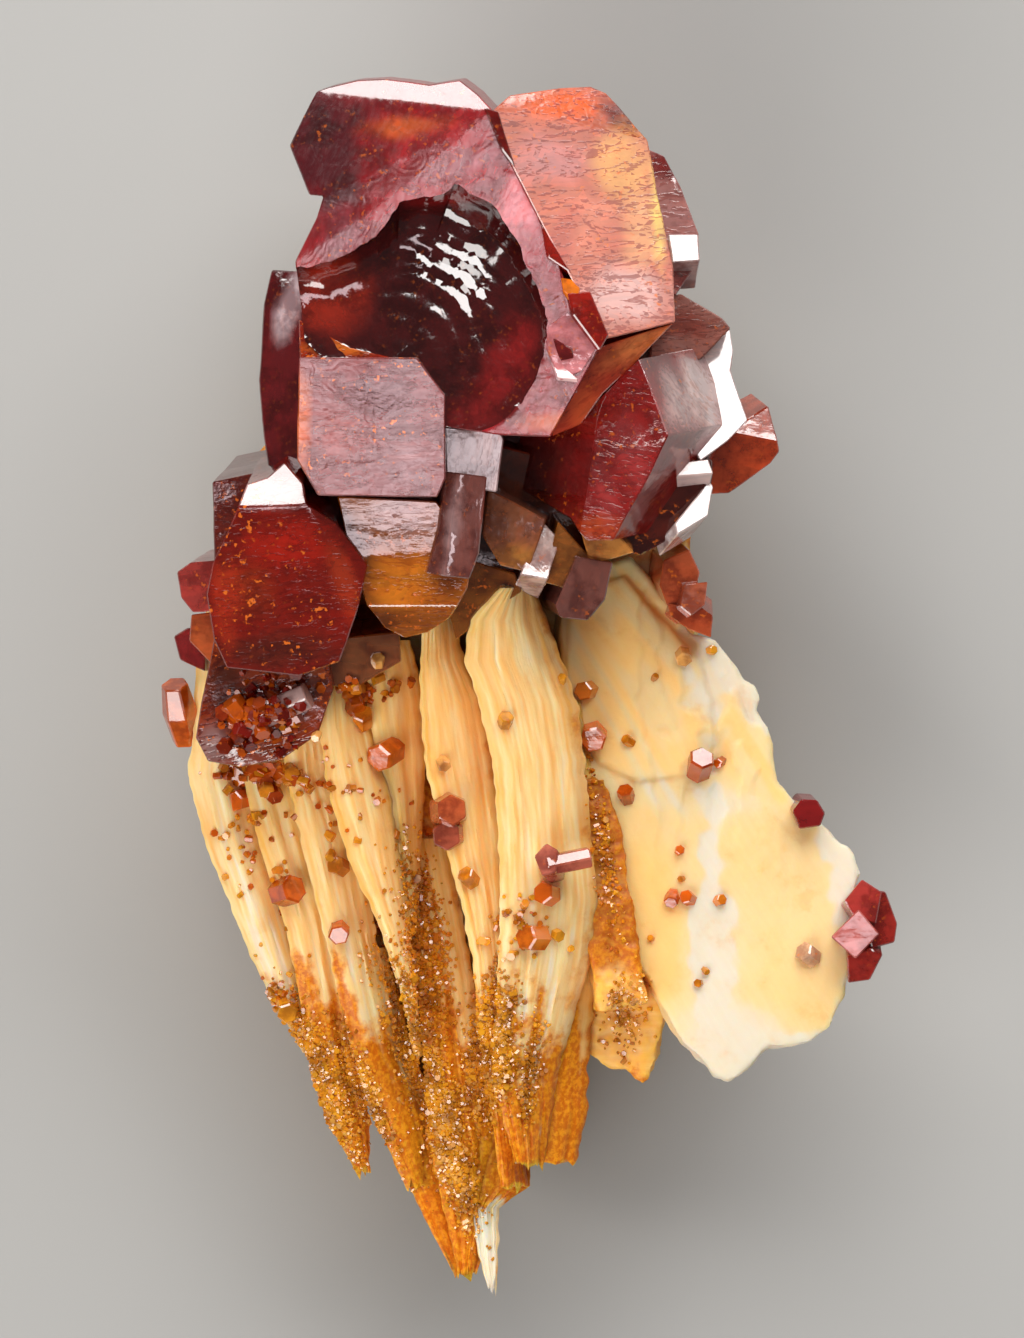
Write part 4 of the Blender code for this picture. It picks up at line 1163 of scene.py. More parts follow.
@dataclass
class Cluster:
    """A group of crystals that grew together, joined in one piece."""

    name: str
    node: str
    crystals: tuple[Crystal | Bar, ...]
    finish: bpy.types.Material
    slot: str
    longest: float = 0.00036
    relief: Face = Face.LARGE
    hollow: Hollow | None = None

    def build(self) -> bpy.types.Object:
        """Grows the crystals, joins them, refines the faces, colours them and adds the piece."""
        first, *others = self.crystals
        piece = first.grow(0)
        if self.hollow:
            combine(piece, self.hollow.tool(), "DIFFERENCE")
        for owner, crystal in enumerate(others, start=1):
            combine(piece, crystal.grow(owner), "UNION")
        piece.name = piece.data.name = self.name
        self.refine(piece)
        self.roughen(piece)
        self.colour(piece)
        self.comb(piece)
        piece.data.materials.clear()
        piece.data.materials.append(self.finish)
        take(piece)
        bpy.ops.object.shade_smooth_by_angle(angle=math.radians(24))
        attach(piece, "root")
        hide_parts(self.node)
        return piece

    def refine(self, piece: bpy.types.Object) -> None:
        """Splits the flat faces into small triangles, which carry relief and colour."""
        mesh = bmesh.new()
        mesh.from_mesh(piece.data)
        bmesh.ops.remove_doubles(mesh, verts=mesh.verts, dist=5e-7)
        bmesh.ops.triangulate(mesh, faces=mesh.faces)
        for _ in range(9):
            long = [edge for edge in mesh.edges if edge.calc_length() > self.longest]
            if not long:
                break
            bmesh.ops.subdivide_edges(mesh, edges=long, cuts=1)
            bmesh.ops.triangulate(mesh, faces=[face for face in mesh.faces if len(face.verts) > 3])
            flat = [edge for edge in mesh.edges if edge.is_manifold and edge.calc_face_angle(1.0) < 0.002]
            bmesh.ops.beautify_fill(mesh, faces=mesh.faces, edges=flat)
        mesh.to_mesh(piece.data)
        mesh.free()

    def roughen(self, piece: bpy.types.Object) -> None:
        """Gives the faces the slight swell and steps of natural growth."""
        points, normals = points_of(piece), normals_of(piece)
        swell = ripple(points, (0.45, 0.45, 0.45), 3.0)
        terraces = np.floor(ripple(points, (0.28, 0.75, 0.5), 9.0) * 4) / 4
        lift = self.relief.value * (swell * 0.8 + terraces)
        move_points(piece, points + normals * lift[:, None] * MM)

    def owners(self, piece: bpy.types.Object) -> np.ndarray:
        """Reads the number of the crystal that each face corner belongs to."""
        faces = np.empty(len(piece.data.polygons), dtype=np.int32)
        piece.data.attributes["owner"].data.foreach_get("value", faces)
        sides = np.empty(len(piece.data.polygons), dtype=np.int32)
        piece.data.polygons.foreach_get("loop_total", sides)
        return np.repeat(faces, sides)

    def colour(self, piece: bpy.types.Object) -> None:
        """Paints each crystal's body colour and patches, and its clarity, glow, dullness and lines."""
        owners, places = self.owners(piece), points_of(piece)[corner_points(piece)]
        columns, rows = columns_rows(places)
        tint, habit = np.ones((len(owners), 4)), np.ones((len(owners), 4))
        wobble = ripple(places, (0.9, 0.9, 0.9), 1.0) * 0.35
        for number, crystal in [*enumerate(self.crystals), (HOLLOW_OWNER, HOLLOW_SKIN)]:
            mine = owners == number
            tint[mine, :3] = crystal.body
            tint[mine, 3] = crystal.clarity
            habit[mine, :3] = (crystal.glow, crystal.rough, crystal.lined)
            for patch in crystal.patches:
                share = covered(patch, columns[mine], rows[mine], wobble[mine])
                tint[mine, :3] += (np.array(patch.colour) - tint[mine, :3]) * share[:, None]
        paint(piece, "tint", tint, "CORNER")
        paint(piece, "habit", habit, "CORNER")

    def comb(self, piece: bpy.types.Object) -> None:
        """Lays the map grain, whose first axis follows each crystal's striations."""
        owners, places = self.owners(piece), points_of(piece)[corner_points(piece)]
        normals = np.empty(len(piece.data.polygons) * 3)
        piece.data.polygons.foreach_get("normal", normals)
        sides = np.empty(len(piece.data.polygons), dtype=np.int32)
        piece.data.polygons.foreach_get("loop_total", sides)
        normals = np.repeat(normals.reshape(-1, 3), sides, axis=0)
        turns = {number: crystal.grain for number, crystal in enumerate(self.crystals)}
        turns[HOLLOW_OWNER] = HOLLOW_SKIN.grain
        angles = np.radians([turns[owner] for owner in owners])
        grain = np.stack([np.cos(angles), np.sin(angles), np.zeros(len(angles))], axis=1)
        along = grain - normals * (grain * normals).sum(1)[:, None]
        size = np.linalg.norm(along, axis=1)
        along[size < 0.2] = (0, 0, 1)
        along /= np.linalg.norm(along, axis=1)[:, None]
        beside = np.cross(normals, along)
        shift = owners * GRAIN_SHIFT
        lay_grain(piece, np.stack([(places * along).sum(1) + shift, (places * beside).sum(1)], axis=1))


@dataclass(frozen=True)
class Blade:
    """A barite blade that runs down the picture.

    runs are its (row, left column, right column) from root to tip, root and tip the heights of its left
    edge there in mm, slope how far its right edge lies below its crest, fibres how many ridges run along it,
    stain how ochre its lower part is, warm how yellow it is, crest where across it is highest, and clean
    the row from which its tip is free of stain.
    """

    runs: tuple[tuple[float, float, float], ...]
    root: float
    tip: float
    slope: float
    fibres: float
    stain: float = 0.6
    warm: float = 0.4
    crest: float = 0.12
    clean: float = 2000.0


BLADES = (
    Blade(
        runs=(
            (640, 196, 245), (745, 190, 248), (775, 185, 252), (850, 205, 270), (900, 225, 282),
            (950, 245, 294), (1000, 268, 306), (1052, 300, 314),
        ),
        root=9.6, tip=6.8, slope=1.0, fibres=5, stain=0.4, warm=0.38, crest=0.45,
    ),
    Blade(
        runs=(
            (690, 232, 292), (790, 244, 300), (850, 259, 316), (930, 284, 334), (1000, 298, 348),
            (1060, 306, 356), (1120, 322, 368), (1176, 358, 369),
        ),
        root=9.5, tip=6.8, slope=0.5, fibres=5, stain=1.0, warm=0.62, crest=0.3,
    ),
    Blade(
        runs=(
            (680, 280, 330), (770, 284, 345), (850, 302, 362), (930, 322, 374), (1000, 338, 388),
            (1060, 354, 402), (1120, 372, 424), (1190, 405, 436),
        ),
        root=10.7, tip=7.2, slope=1.0, fibres=6, stain=1.0, warm=0.52, crest=0.2,
    ),
    Blade(
        runs=(
            (660, 316, 366), (730, 318, 376), (800, 330, 394), (860, 348, 402), (930, 380, 410),
            (1000, 402, 417), (1056, 415, 421),
        ),
        root=11.9, tip=9.4, slope=1.3, fibres=7, stain=0.0, warm=0.60, crest=0.25,
    ),
    Blade(
        runs=(
            (640, 366, 410), (700, 366, 424), (760, 376, 426), (820, 390, 422), (880, 398, 420),
            (932, 407, 417),
        ),
        root=11.5, tip=8.6, slope=1.2, fibres=5, stain=0.4, warm=0.6,
    ),
    Blade(
        runs=(
            (618, 424, 456), (660, 420, 464), (700, 420, 485), (760, 424, 497), (830, 440, 504),
            (900, 460, 508), (960, 472, 512), (1040, 480, 516), (1120, 492, 522), (1190, 500, 528),
        ),
        root=12.3, tip=8.6, slope=1.2, fibres=7, stain=0.8, warm=0.58,
    ),
    Blade(
        runs=(
            (588, 500, 534), (620, 470, 547), (660, 464, 562), (700, 478, 577), (760, 492, 585),
            (830, 498, 591), (900, 500, 598), (960, 498, 592), (1010, 496, 577), (1080, 492, 558),
            (1166, 515, 546),
        ),
        root=13.0, tip=9.2, slope=1.5, fibres=8, stain=0.9, warm=0.50,
    ),
    Blade(
        runs=(
            (700, 550, 592), (790, 566, 604), (900, 574, 610), (1000, 560, 596), (1060, 552, 589),
            (1120, 546, 588), (1166, 545, 577),
        ),
        root=9.6, tip=7.6, slope=0.9, fibres=4, stain=1.4, warm=0.9,
    ),
    Blade(
        runs=(
            (840, 396, 446), (940, 408, 466), (1020, 420, 480), (1100, 426, 496), (1150, 430, 512),
            (1200, 440, 500), (1250, 452, 486), (1278, 457, 476),
        ),
        root=7.6, tip=7.6, slope=0.7, fibres=7, stain=1.1, warm=0.7,
    ),
    Blade(
        runs=(
            (950, 340, 384), (1040, 358, 408), (1110, 371, 432), (1165, 395, 444), (1225, 425, 464),
            (1277, 452, 468),
        ),
        root=8.0, tip=6.6, slope=0.9, fibres=6, stain=1.0, warm=0.7,
    ),
    Blade(
        runs=(
            (1080, 468, 520), (1140, 470, 532), (1190, 470, 530), (1212, 471, 499), (1260, 478, 498),
            (1293, 488, 496),
        ),
        root=6.9, tip=7.6, slope=0.3, fibres=5, stain=1.1, warm=0.05, clean=1205,
    ),
)
BLADE_DEPTH = 6.5
TIP_DEPTH = 1.1
ROW_STEP = 3.2
LANE_STEP = 2.6
FEWEST_LANES = 14
BACK_POINTS = 6
# A blade narrower than this many pixels has less relief
FULL_WIDTH = 30
FIBRE_HIGH = 0.060
FIBRE_FINE = 0.034
FIBRE_THREAD = 0.026
LEFT_RAGGED = 2.6
RIGHT_RAGGED = 3.4
TIP_RAGGED = 16
STAIN_ROWS = (880.0, 1080.0)
PALER_ROWS = (820.0, 960.0)
# How far apart neighbouring blades' fibres are read from the pattern, in metres
BLADE_SHIFT = 0.004


@dataclass(frozen=True)
class Section:
    """A cut across a blade: its share of the way down, its row and its edges in picture columns."""

    blade: Blade
    number: int
    down: float
    row: float
    left: float
    right: float

    def narrow(self) -> float:
        """Gives the share of the relief that the blade is wide enough for."""
        return min(1.0, (self.right - self.left) / FULL_WIDTH)

    def front(self) -> float:
        """Gives the height of the crest in mm."""
        height = self.blade.root + (self.blade.tip - self.blade.root) * self.down
        return height + 0.25 * wave(self.row / 120, self.number * 3.0, 8.0)

    def front_point(self, share: float) -> tuple[Vector, Colour]:
        """Finds a point of the ridged front and its shades.

        Args:
            share: how far across the blade it lies, from 0, left, to 1, right.

        Returns:
            Its place in metres, and how warm, stained and dark it is.
        """
        blade, number, row, narrow = self.blade, self.number, self.row, self.narrow()
        lane = share * blade.fibres
        bend = 0.6 * wave(row / 210, number * 2.0, 1.0)
        ridge = wave(lane + bend, row / 230, number * 7.0)
        fine = wave(lane * 3.4 + bend, row / 62, number * 9.0)
        thread = wave(lane * 7.9 + 2 * bend, row / 34, number * 6.0)
        relief = FIBRE_HIGH * (1 - 2.6 * abs(ridge)) + FIBRE_FINE * (1 - 2.6 * abs(fine))
        relief += FIBRE_THREAD * thread
        beyond = max(0.0, share - blade.crest) / (1 - blade.crest)
        before = max(0.0, blade.crest - share) / blade.crest
        fall = (blade.slope * beyond**1.6 + 1.1 * blade.crest * before**2) * narrow
        lip = 0.08 * math.exp(-share * 14)
        edge = LEFT_RAGGED * wave(row / 14, number * 5.0, 0.0) * (1 - share) ** 7
        edge += RIGHT_RAGGED * wave(row / 13, number * 5.0, 3.0) * share**7
        column = self.left + (self.right - self.left) * share + edge * narrow
        ragged = TIP_RAGGED * wave(lane * 1.3, number * 4.0, 5.0) * self.down**6
        place = at(column, row + ragged, self.front() - fall + relief * narrow + lip)
        return place, self.shade(share, ridge, fine, thread)

    def shade(self, share: float, ridge: float, fine: float, thread: float) -> Colour:
        """Gives how warm, stained and dark a point of the front is, with painted shade along its right edge,
        where the next blade overlaps.

        Args:
            share: how far across the blade it lies.
            ridge: the broad relief there, from -1 to 1.
            fine: the fine relief.
            thread: the finest relief.

        Returns:
            The three shades.
        """
        blade, row = self.blade, self.row
        stain = smoothstep(*STAIN_ROWS, row + 70 * ridge - 110 * share) * blade.stain
        stain = stain * (1 - smoothstep(blade.clean - 14, blade.clean + 14, row + 20 * ridge))
        # painted shade along the right edge, where the next blade overlaps: there the front turns warmer,
        # more stained and darker
        shaded_edge = smoothstep(0.76, 1.0, share)
        warm = blade.warm - 0.16 * smoothstep(*PALER_ROWS, row) + 0.22 * math.exp(-share * 5)
        warm += 0.28 * ridge + 0.38 * fine + 0.30 * thread + 0.3 * shaded_edge
        shade_and_brown = 0.40 * max(0.0, shaded_edge + 0.3 * ridge) + 0.25 * stain * abs(ridge)
        return warm, stain + 0.25 * shaded_edge, shade_and_brown

    def back(self) -> tuple[tuple[float, float], ...]:
        """Gives the column and height of each point of the plain back, from the right edge to the left."""
        front, narrow, width = self.front(), self.narrow(), self.right - self.left
        low = front - self.blade.slope * narrow
        depth = TIP_DEPTH + (BLADE_DEPTH - TIP_DEPTH) * (1 - self.down**2.2)
        return (
            (self.right - 1.5, low - depth * 0.25),
            (self.right - 3, low - depth * 0.55),
            (self.right - width * 0.25, front - depth),
            (self.left + width * 0.25, front - depth),
            (self.left + 3 * narrow, front - depth * 0.5),
            (self.left + 1.2 * narrow, front - depth * 0.2),
        )


class Blades:
    """The fan of barite blades on the left."""

    def __init__(self, finish: bpy.types.Material) -> None:
        """Keeps the barite finish."""
        self.finish = finish

    def build(self) -> bpy.types.Object:
        """Makes every blade and joins them in one piece."""
        points, faces, shades, lines = [], [], [], []
        count = 0
        for number, blade in enumerate(BLADES):
            some_points, some_faces, some_shades, some_lines = self.blade(blade, number)
            faces += [tuple(index + count for index in face) for face in some_faces]
            points.append(some_points)
            shades.append(some_shades)
            lines.append(some_lines)
            count += len(some_points)
        piece = from_arrays("barite_blades", np.concatenate(points), faces)
        dress_barite(piece, np.concatenate(shades), np.concatenate(lines), self.finish)
        return piece

    def blade(
        self, blade: Blade, number: int
    ) -> tuple[np.ndarray, list[tuple[int, ...]], np.ndarray, np.ndarray]:
        """Makes one blade: sections down its length, bridged and closed.

        Args:
            blade: the blade's sizes.
            number: its place in the fan, which shifts its pattern.

        Returns:
            Its points, faces, shades and grain coordinates.
        """
        rows, lefts, rights = np.array(blade.runs).T
        row_count = int((rows[-1] - rows[0]) / ROW_STEP)
        widest = (rights - lefts).max()
        shares = np.linspace(0, 1, int(max(FEWEST_LANES, widest / LANE_STEP)))
        across = np.concatenate([shares, np.linspace(1, 2, BACK_POINTS)]) * widest * PIXEL
        points, shades, lines = [], [], []
        for step in range(row_count + 1):
            down = step / row_count
            row = rows[0] + (rows[-1] - rows[0]) * down
            left, right = np.interp(row, rows, lefts), np.interp(row, rows, rights)
            section = Section(blade, number, down, row, left, right)
            for share in shares:
                place, shade = section.front_point(share)
                points.append(place)
                shades.append(shade)
            for index, (column, height) in enumerate(section.back()):
                layer = wave(row / 90, index * 1.7, number * 3.0)
                points.append(at(column, row, height))
                shades.append((0.55 + 0.4 * layer, 0.12 + 0.4 * layer, 0.18))
            along = np.full(len(across), row * PIXEL)
            lines.append(np.stack([along, across + number * BLADE_SHIFT], axis=1))
        faces = self.bridge(row_count, len(across))
        return np.array(points), faces, np.array(shades), np.concatenate(lines)

    def bridge(self, row_count: int, ring: int) -> list[tuple[int, ...]]:
        """Joins a blade's sections with faces and closes its ends.

        Args:
            row_count: how many steps it has down its length.
            ring: how many points each section has.

        Returns:
            The point numbers of each face.
        """
        faces = []
        for low in range(0, row_count * ring, ring):
            for index in range(ring):
                following = (index + 1) % ring
                faces.append((low + index, low + ring + index, low + ring + following, low + following))
        faces.append(tuple(range(ring)))
        faces.append(tuple(row_count * ring + index for index in reversed(range(ring))))
        return faces


def dress_barite(
    piece: bpy.types.Object, shades: np.ndarray, lines: np.ndarray, finish: bpy.types.Material
) -> None:
    """Gives a barite piece its attributes, material, shading and place in the frame.

    Args:
        piece: the piece.
        shades: warm, stain and dark for each point.
        lines: grain coordinates for each point, along and across the fibres.
        finish: the barite material.
    """
    values = np.ones((len(piece.data.vertices), 4))
    values[:, :3] = np.clip(shades, 0, 1.4)
    paint(piece, "shade", values, "POINT")
    lay_grain(piece, lines[corner_points(piece)])
    piece.data.materials.clear()
    piece.data.materials.append(finish)
    face_outward(piece)
    bpy.ops.object.shade_smooth_by_angle(angle=math.radians(50))
    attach(piece, "root")
    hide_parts("barite_matrix")


@dataclass(frozen=True)
class Slab:
    """A slab of barite: its outline in picture points, the height of its top, its thickness and facing."""

    outline: tuple[Point, ...]
    top: float
    thick: float
    facing: Direction = (0.0, 0.0, 1.0)
    narrowing: float = 1.0

    def cast(self) -> bpy.types.Object:
        """Models the slab as a plain prism."""
        return Crystal(self.outline, self.top, self.facing, self.thick, narrowing=self.narrowing).grow(0)


PLATE_FACING = (0.10, 0.03, 1.0)
PLATE = Slab(
    outline=(
        (560, 600), (613, 560), (632, 556), (652, 577), (692, 632), (715, 640), (730, 655), (745, 680),
        (757, 685), (762, 697), (758, 711), (770, 728), (776, 770), (783, 786), (800, 806), (825, 828),
        (845, 845), (857, 858), (861, 875), (858, 892), (856, 940), (850, 982), (845, 1001), (833, 1028),
        (815, 1043), (790, 1050), (771, 1048), (755, 1065), (742, 1079), (730, 1083), (718, 1078),
        (696, 1056), (684, 1045), (670, 1022), (652, 985), (620, 940), (560, 880),
    ),
    top=8.2,
    thick=1.2,
    facing=PLATE_FACING,
)
# Areas of the plate: their colour holds how warm, how stained and how dark they are
PLATE_PATCHES = (
    Patch((640, 660), (70, 110), (0.68, 0.0, 0.0), 0.85, 20.0),
    Patch((598, 700), (24, 120), (0.68, 0.06, 0.05), 0.7),
    Patch((715, 720), (26, 80), (0.50, 0.0, 0.0), 0.7, 20.0),
    Patch((700, 800), (120, 24), (0.06, 0.0, 0.0), 0.65, -8.0),
    Patch((648, 910), (38, 100), (0.74, 0.0, 0.02), 0.95, 8.0),
    Patch((655, 985), (30, 24), (0.80, 0.05, 0.08), 0.7),
    Patch((800, 880), (70, 70), (0.36, 0.0, 0.0), 0.9),
    Patch((730, 960), (44, 80), (0.14, 0.0, 0.0), 0.5),
    Patch((740, 1045), (90, 56), (0.0, 0.0, 0.0), 0.9),
)
PLATE_STEPS = (
    Slab(
        outline=(
            (570, 590), (625, 575), (660, 615), (700, 660), (712, 700), (715, 745), (700, 775), (640, 782),
            (600, 765), (565, 700),
        ),
        top=8.55,
        thick=1.2,
        facing=PLATE_FACING,
    ),
    Slab(
        outline=(
            (560, 770), (622, 785), (655, 815), (682, 850), (690, 900), (690, 950), (684, 1004), (662, 1006),
            (646, 975), (610, 920), (565, 880),
        ),
        top=8.55,
        thick=1.2,
        facing=PLATE_FACING,
    ),
)
FLAP = Slab(
    outline=(
        (575, 950), (640, 955), (668, 1015), (661, 1040), (658, 1062), (644, 1087), (628, 1071), (612, 1073),
        (590, 1060), (578, 1050),
    ),
    top=7.3,
    thick=1.3,
    facing=(-0.12, -0.10, 1.0),
)
STRIP = Slab(
    outline=(
        (582, 780), (606, 778), (622, 830), (632, 900), (640, 960), (650, 1005), (600, 1012), (580, 900),
    ),
    top=9.2,
    thick=2.4,
    facing=PLATE_FACING,
)
ROOT = Slab(
    outline=(
        (250, 660), (262, 540), (318, 380), (400, 268), (560, 250), (632, 330), (668, 500), (690, 700),
        (672, 880), (600, 1000), (500, 1110), (420, 1090), (330, 980), (262, 830),
    ),
    top=2.6,
    thick=2.6,
    narrowing=0.93,
)
BACK_SLABS = (
    Slab(
        outline=(
            (214, 690), (210, 600), (250, 500), (300, 380), (350, 290), (470, 250), (500, 700), (480, 1150),
            (400, 1120), (300, 980), (222, 800),
        ),
        top=4.4,
        thick=2.3,
    ),
    Slab(
        outline=(
            (420, 262), (560, 232), (636, 290), (684, 420), (686, 560), (716, 690), (738, 780), (706, 900),
            (640, 980), (560, 1060), (470, 1120),
        ),
        top=5.2,
        thick=2.9,
    ),
    Slab(((338, 262), (430, 240), (468, 600), (470, 900), (390, 960), (310, 720)), 7.0, 3.4),
    Slab(((480, 236), (600, 262), (652, 500), (640, 860), (530, 1010), (470, 700)), 7.5, 3.8),
    Slab(((240, 560), (330, 400), (420, 640), (410, 1010), (310, 930)), 6.2, 2.8),
)


def rim_distance(columns: np.ndarray, rows: np.ndarray, outline: tuple[Point, ...]) -> np.ndarray:
    """Measures how far picture points lie from an outline, in pixels.

    Args:
        columns: picture columns.
        rows: picture rows.
        outline: the outline's corners.

    Returns:
        The distance of each point.
    """
    nearest = np.full(len(columns), 1e9)
    spots = np.stack([columns, rows], axis=1)
    for start, end in zip(outline, outline[1:] + outline[:1]):
        start, edge = np.array(start, dtype=float), np.subtract(end, start).astype(float)
        share = np.clip(((spots - start) @ edge) / (edge @ edge), 0, 1)
        nearest = np.minimum(nearest, np.linalg.norm(spots - start - share[:, None] * edge, axis=1))
    return nearest


@dataclass
class Plate:
    """The broad plate on the right, with its growth steps, the strip and the flap under it."""

    finish: bpy.types.Material
    flap_finish: bpy.types.Material
    voxel: float = 0.00011
    rim: tuple[Point, ...] = PLATE.outline[5:31]
    terraces: tuple[int, ...] = (14, 38, 62)
    terrace_high: float = 0.085
    bare_shade: Colour = (0.42, 0.0, 0.0)

    def build(self) -> list[bpy.types.Object]:
        """Makes the plate and the ochre flap as two pieces."""
        plate = PLATE.cast()
        for step in PLATE_STEPS:
            combine(plate, step.cast(), "UNION")
        plate.name = plate.data.name = "barite_plate"
        apply_modifier(plate, "REMESH", mode="VOXEL", voxel_size=self.voxel)
        self.weather(plate)
        flap = FLAP.cast()
        combine(flap, STRIP.cast(), "UNION")
        flap.name = flap.data.name = "barite_flap"
        apply_modifier(flap, "REMESH", mode="VOXEL", voxel_size=self.voxel * 1.1)
        self.crust(flap)
        return [plate, flap]

    def weather(self, plate: bpy.types.Object) -> None:
        """Gives the plate its ragged rim, growth ridges and colours, with a painted glow along the thin rim.
        """
        points, normals = points_of(plate), normals_of(plate)
        broad = ripple(points, (0.30, 0.30, 0.3), 2.0)
        ridges = ripple(points, (1.3, 0.35, 0.6), 6.0)
        jag = ripple(points, (1.6, 1.6, 1.6), 4.0)
        sideways = 1 - np.abs(normals[:, 2])
        columns, rows = columns_rows(points)
        inward = rim_distance(columns, rows, self.rim) + 16 * jag + 26 * broad
        upper = smoothstep(900, 760, rows)
        stairs = sum(smoothstep(step - 2.5, step + 2.5, inward) for step in self.terraces)
        lift = 0.10 * broad + 0.020 * (1 - 2 * np.abs(ridges)) * (1 - sideways)
        lift += self.terrace_high * stairs * upper * (1 - sideways)
        shifted = points + normals * (0.16 * jag * sideways)[:, None] * MM
        shifted[:, 2] += lift * MM
        move_points(plate, shifted)
        shades = np.tile(self.bare_shade, (len(points), 1))
        for patch in PLATE_PATCHES:
            share = covered(patch, columns, rows, 0.35 * broad + 0.12 * jag)
            shades += (np.array(patch.colour) - shades) * share[:, None]
        slant = points[:, 0] * 0.5 - points[:, 1] * 0.87
        beside = points[:, 0] * 0.87 + points[:, 1] * 0.5
        growth = ripple(np.stack([slant * 0.16, beside, 0 * slant], axis=1), (1.1, 1.1, 1), 2.0)
        shades[:, 0] += 0.16 * np.sin(growth * 7) * smoothstep(860, 760, rows) + 0.08 * broad
        # painted glow of light through the thin rim: the plate turns paler towards its edge
        shades[:, 0] -= 0.5 * smoothstep(24, 3, inward)
        dress_barite(plate, shades, np.stack([slant, beside + points[:, 2]], axis=1), self.finish)

    def crust(self, flap: bpy.types.Object) -> None:
        """Roughens the flap and the strip, and stains them ochre."""
        points, normals = points_of(flap), normals_of(flap)
        grains = ripple(points, (3.2, 3.2, 3.2), 1.0)
        coarse = ripple(points, (0.9, 0.9, 0.9), 5.0)
        move_points(flap, points + normals * (0.09 * grains + 0.14 * coarse)[:, None] * MM)
        _, rows = columns_rows(points)
        brown = smoothstep(1000, 930, rows) * 0.6
        stain = 0.20 + 0.5 * coarse + brown
        shades = np.stack([0.95 + 0.3 * grains, stain, brown * 0.8 - 0.25 * grains], axis=1)
        dress_barite(flap, shades, points[:, :2], self.flap_finish)


@dataclass
class Root:
    """The root slabs behind the crystals and under the blades."""

    finish: bpy.types.Material
    voxel: float = 0.00024
    ragged: float = 11.0

    def build(self) -> bpy.types.Object:
        """Joins the slabs, roughens them and keeps the face that they rest on flat."""
        rng = np.random.default_rng(21)
        root = self.fray(ROOT, rng).cast()
        for slab in BACK_SLABS:
            combine(root, self.fray(slab, rng).cast(), "UNION")
        crystals = bpy.data.objects["main_cluster"].copy()
        crystals.data = crystals.data.copy()
        bpy.context.scene.collection.objects.link(crystals)
        combine(root, crystals, "DIFFERENCE")
        root.name = root.data.name = "barite_root"
        apply_modifier(root, "REMESH", mode="VOXEL", voxel_size=self.voxel)
        points, normals = points_of(root), normals_of(root)
        coarse = ripple(points, (0.5, 0.35, 1.4), 3.0)
        fine = ripple(points, (1.6, 1.0, 3.0), 8.0)
        free = smoothstep(0.15, 0.8, points[:, 2] / MM)
        moved = points + normals * ((0.30 * coarse + 0.12 * fine) * free)[:, None] * MM
        moved[:, 2] = np.where(points[:, 2] < 0.2 * MM, 0.0, np.maximum(moved[:, 2], 0.0))
        move_points(root, moved)
        shades = np.stack([0.55 + 0.4 * coarse, 0.30 + 0.5 * coarse, 0.12 + 0.3 * fine], axis=1)
        dress_barite(root, shades, points[:, :2], self.finish)
        return root

    def fray(self, slab: Slab, rng: np.random.Generator) -> Slab:
        """Adds shifted points along a slab's outline."""
        points = []
        for start, end in zip(slab.outline, slab.outline[1:] + slab.outline[:1]):
            points.append(start)
            for share in (0.34, 0.67):
                shift = rng.uniform(-self.ragged, self.ragged, 2)
                points.append(tuple(np.array(start) + (np.array(end) - np.array(start)) * share + shift))
        return Slab(tuple(points), slab.top, slab.thick, slab.facing, slab.narrowing)


# Single small crystals: column, row, width in pixels and how red each is, from 0, orange, to 1, deep red
SMALL_CRYSTALS = (
    (700, 768, 27, 0.8), (722, 762, 11, 0.5), (630, 742, 11, 0.3), (594, 735, 28, 0.5), (588, 690, 20, 0.4),
    (562, 680, 9, 0.2), (505, 722, 16, 0.2), (549, 895, 24, 0.5), (536, 938, 28, 0.45), (283, 893, 30, 0.6),
    (338, 932, 22, 0.5), (339, 868, 20, 0.3), (330, 855, 10, 0.2), (388, 752, 30, 0.5), (362, 720, 22, 0.4),
    (442, 762, 14, 0.1), (378, 662, 14, 0.1), (264, 786, 18, 0.3), (317, 735, 10, 0.1), (627, 797, 17, 0.6),
    (680, 852, 10, 0.5), (683, 880, 7, 0.3), (673, 898, 15, 0.6), (690, 900, 15, 0.5), (720, 902, 12, 0.4),
    (655, 678, 7, 0.3), (684, 655, 17, 0.1), (712, 650, 10, 0.2), (570, 950, 7, 0.2), (487, 942, 9, 0.2),
    (812, 958, 21, 0.0), (262, 992, 26, 0.4), (285, 1012, 22, 0.2), (240, 800, 22, 0.5), (470, 880, 18, 0.3),
    (417, 880, 10, 0.0), (652, 940, 7, 0.3), (700, 985, 9, 0.3), (706, 972, 7, 0.2),
)
# The small crystals' glow, dullness and lines, and how far light passes through them
SMALL_HABIT = (0.6, 0.06, 0.0, 1.0)
SMALL_CLARITY = 0.25
# From pale over orange to deep red: a level of redness and its colour
SMALL_TONES = (
    (0.0, (0.95, 0.62, 0.36)),
    (0.15, (0.95, 0.44, 0.020)),
    (0.5, (0.74, 0.13, 0.004)),
    (1.0, (0.28, 0.012, 0.005)),
)
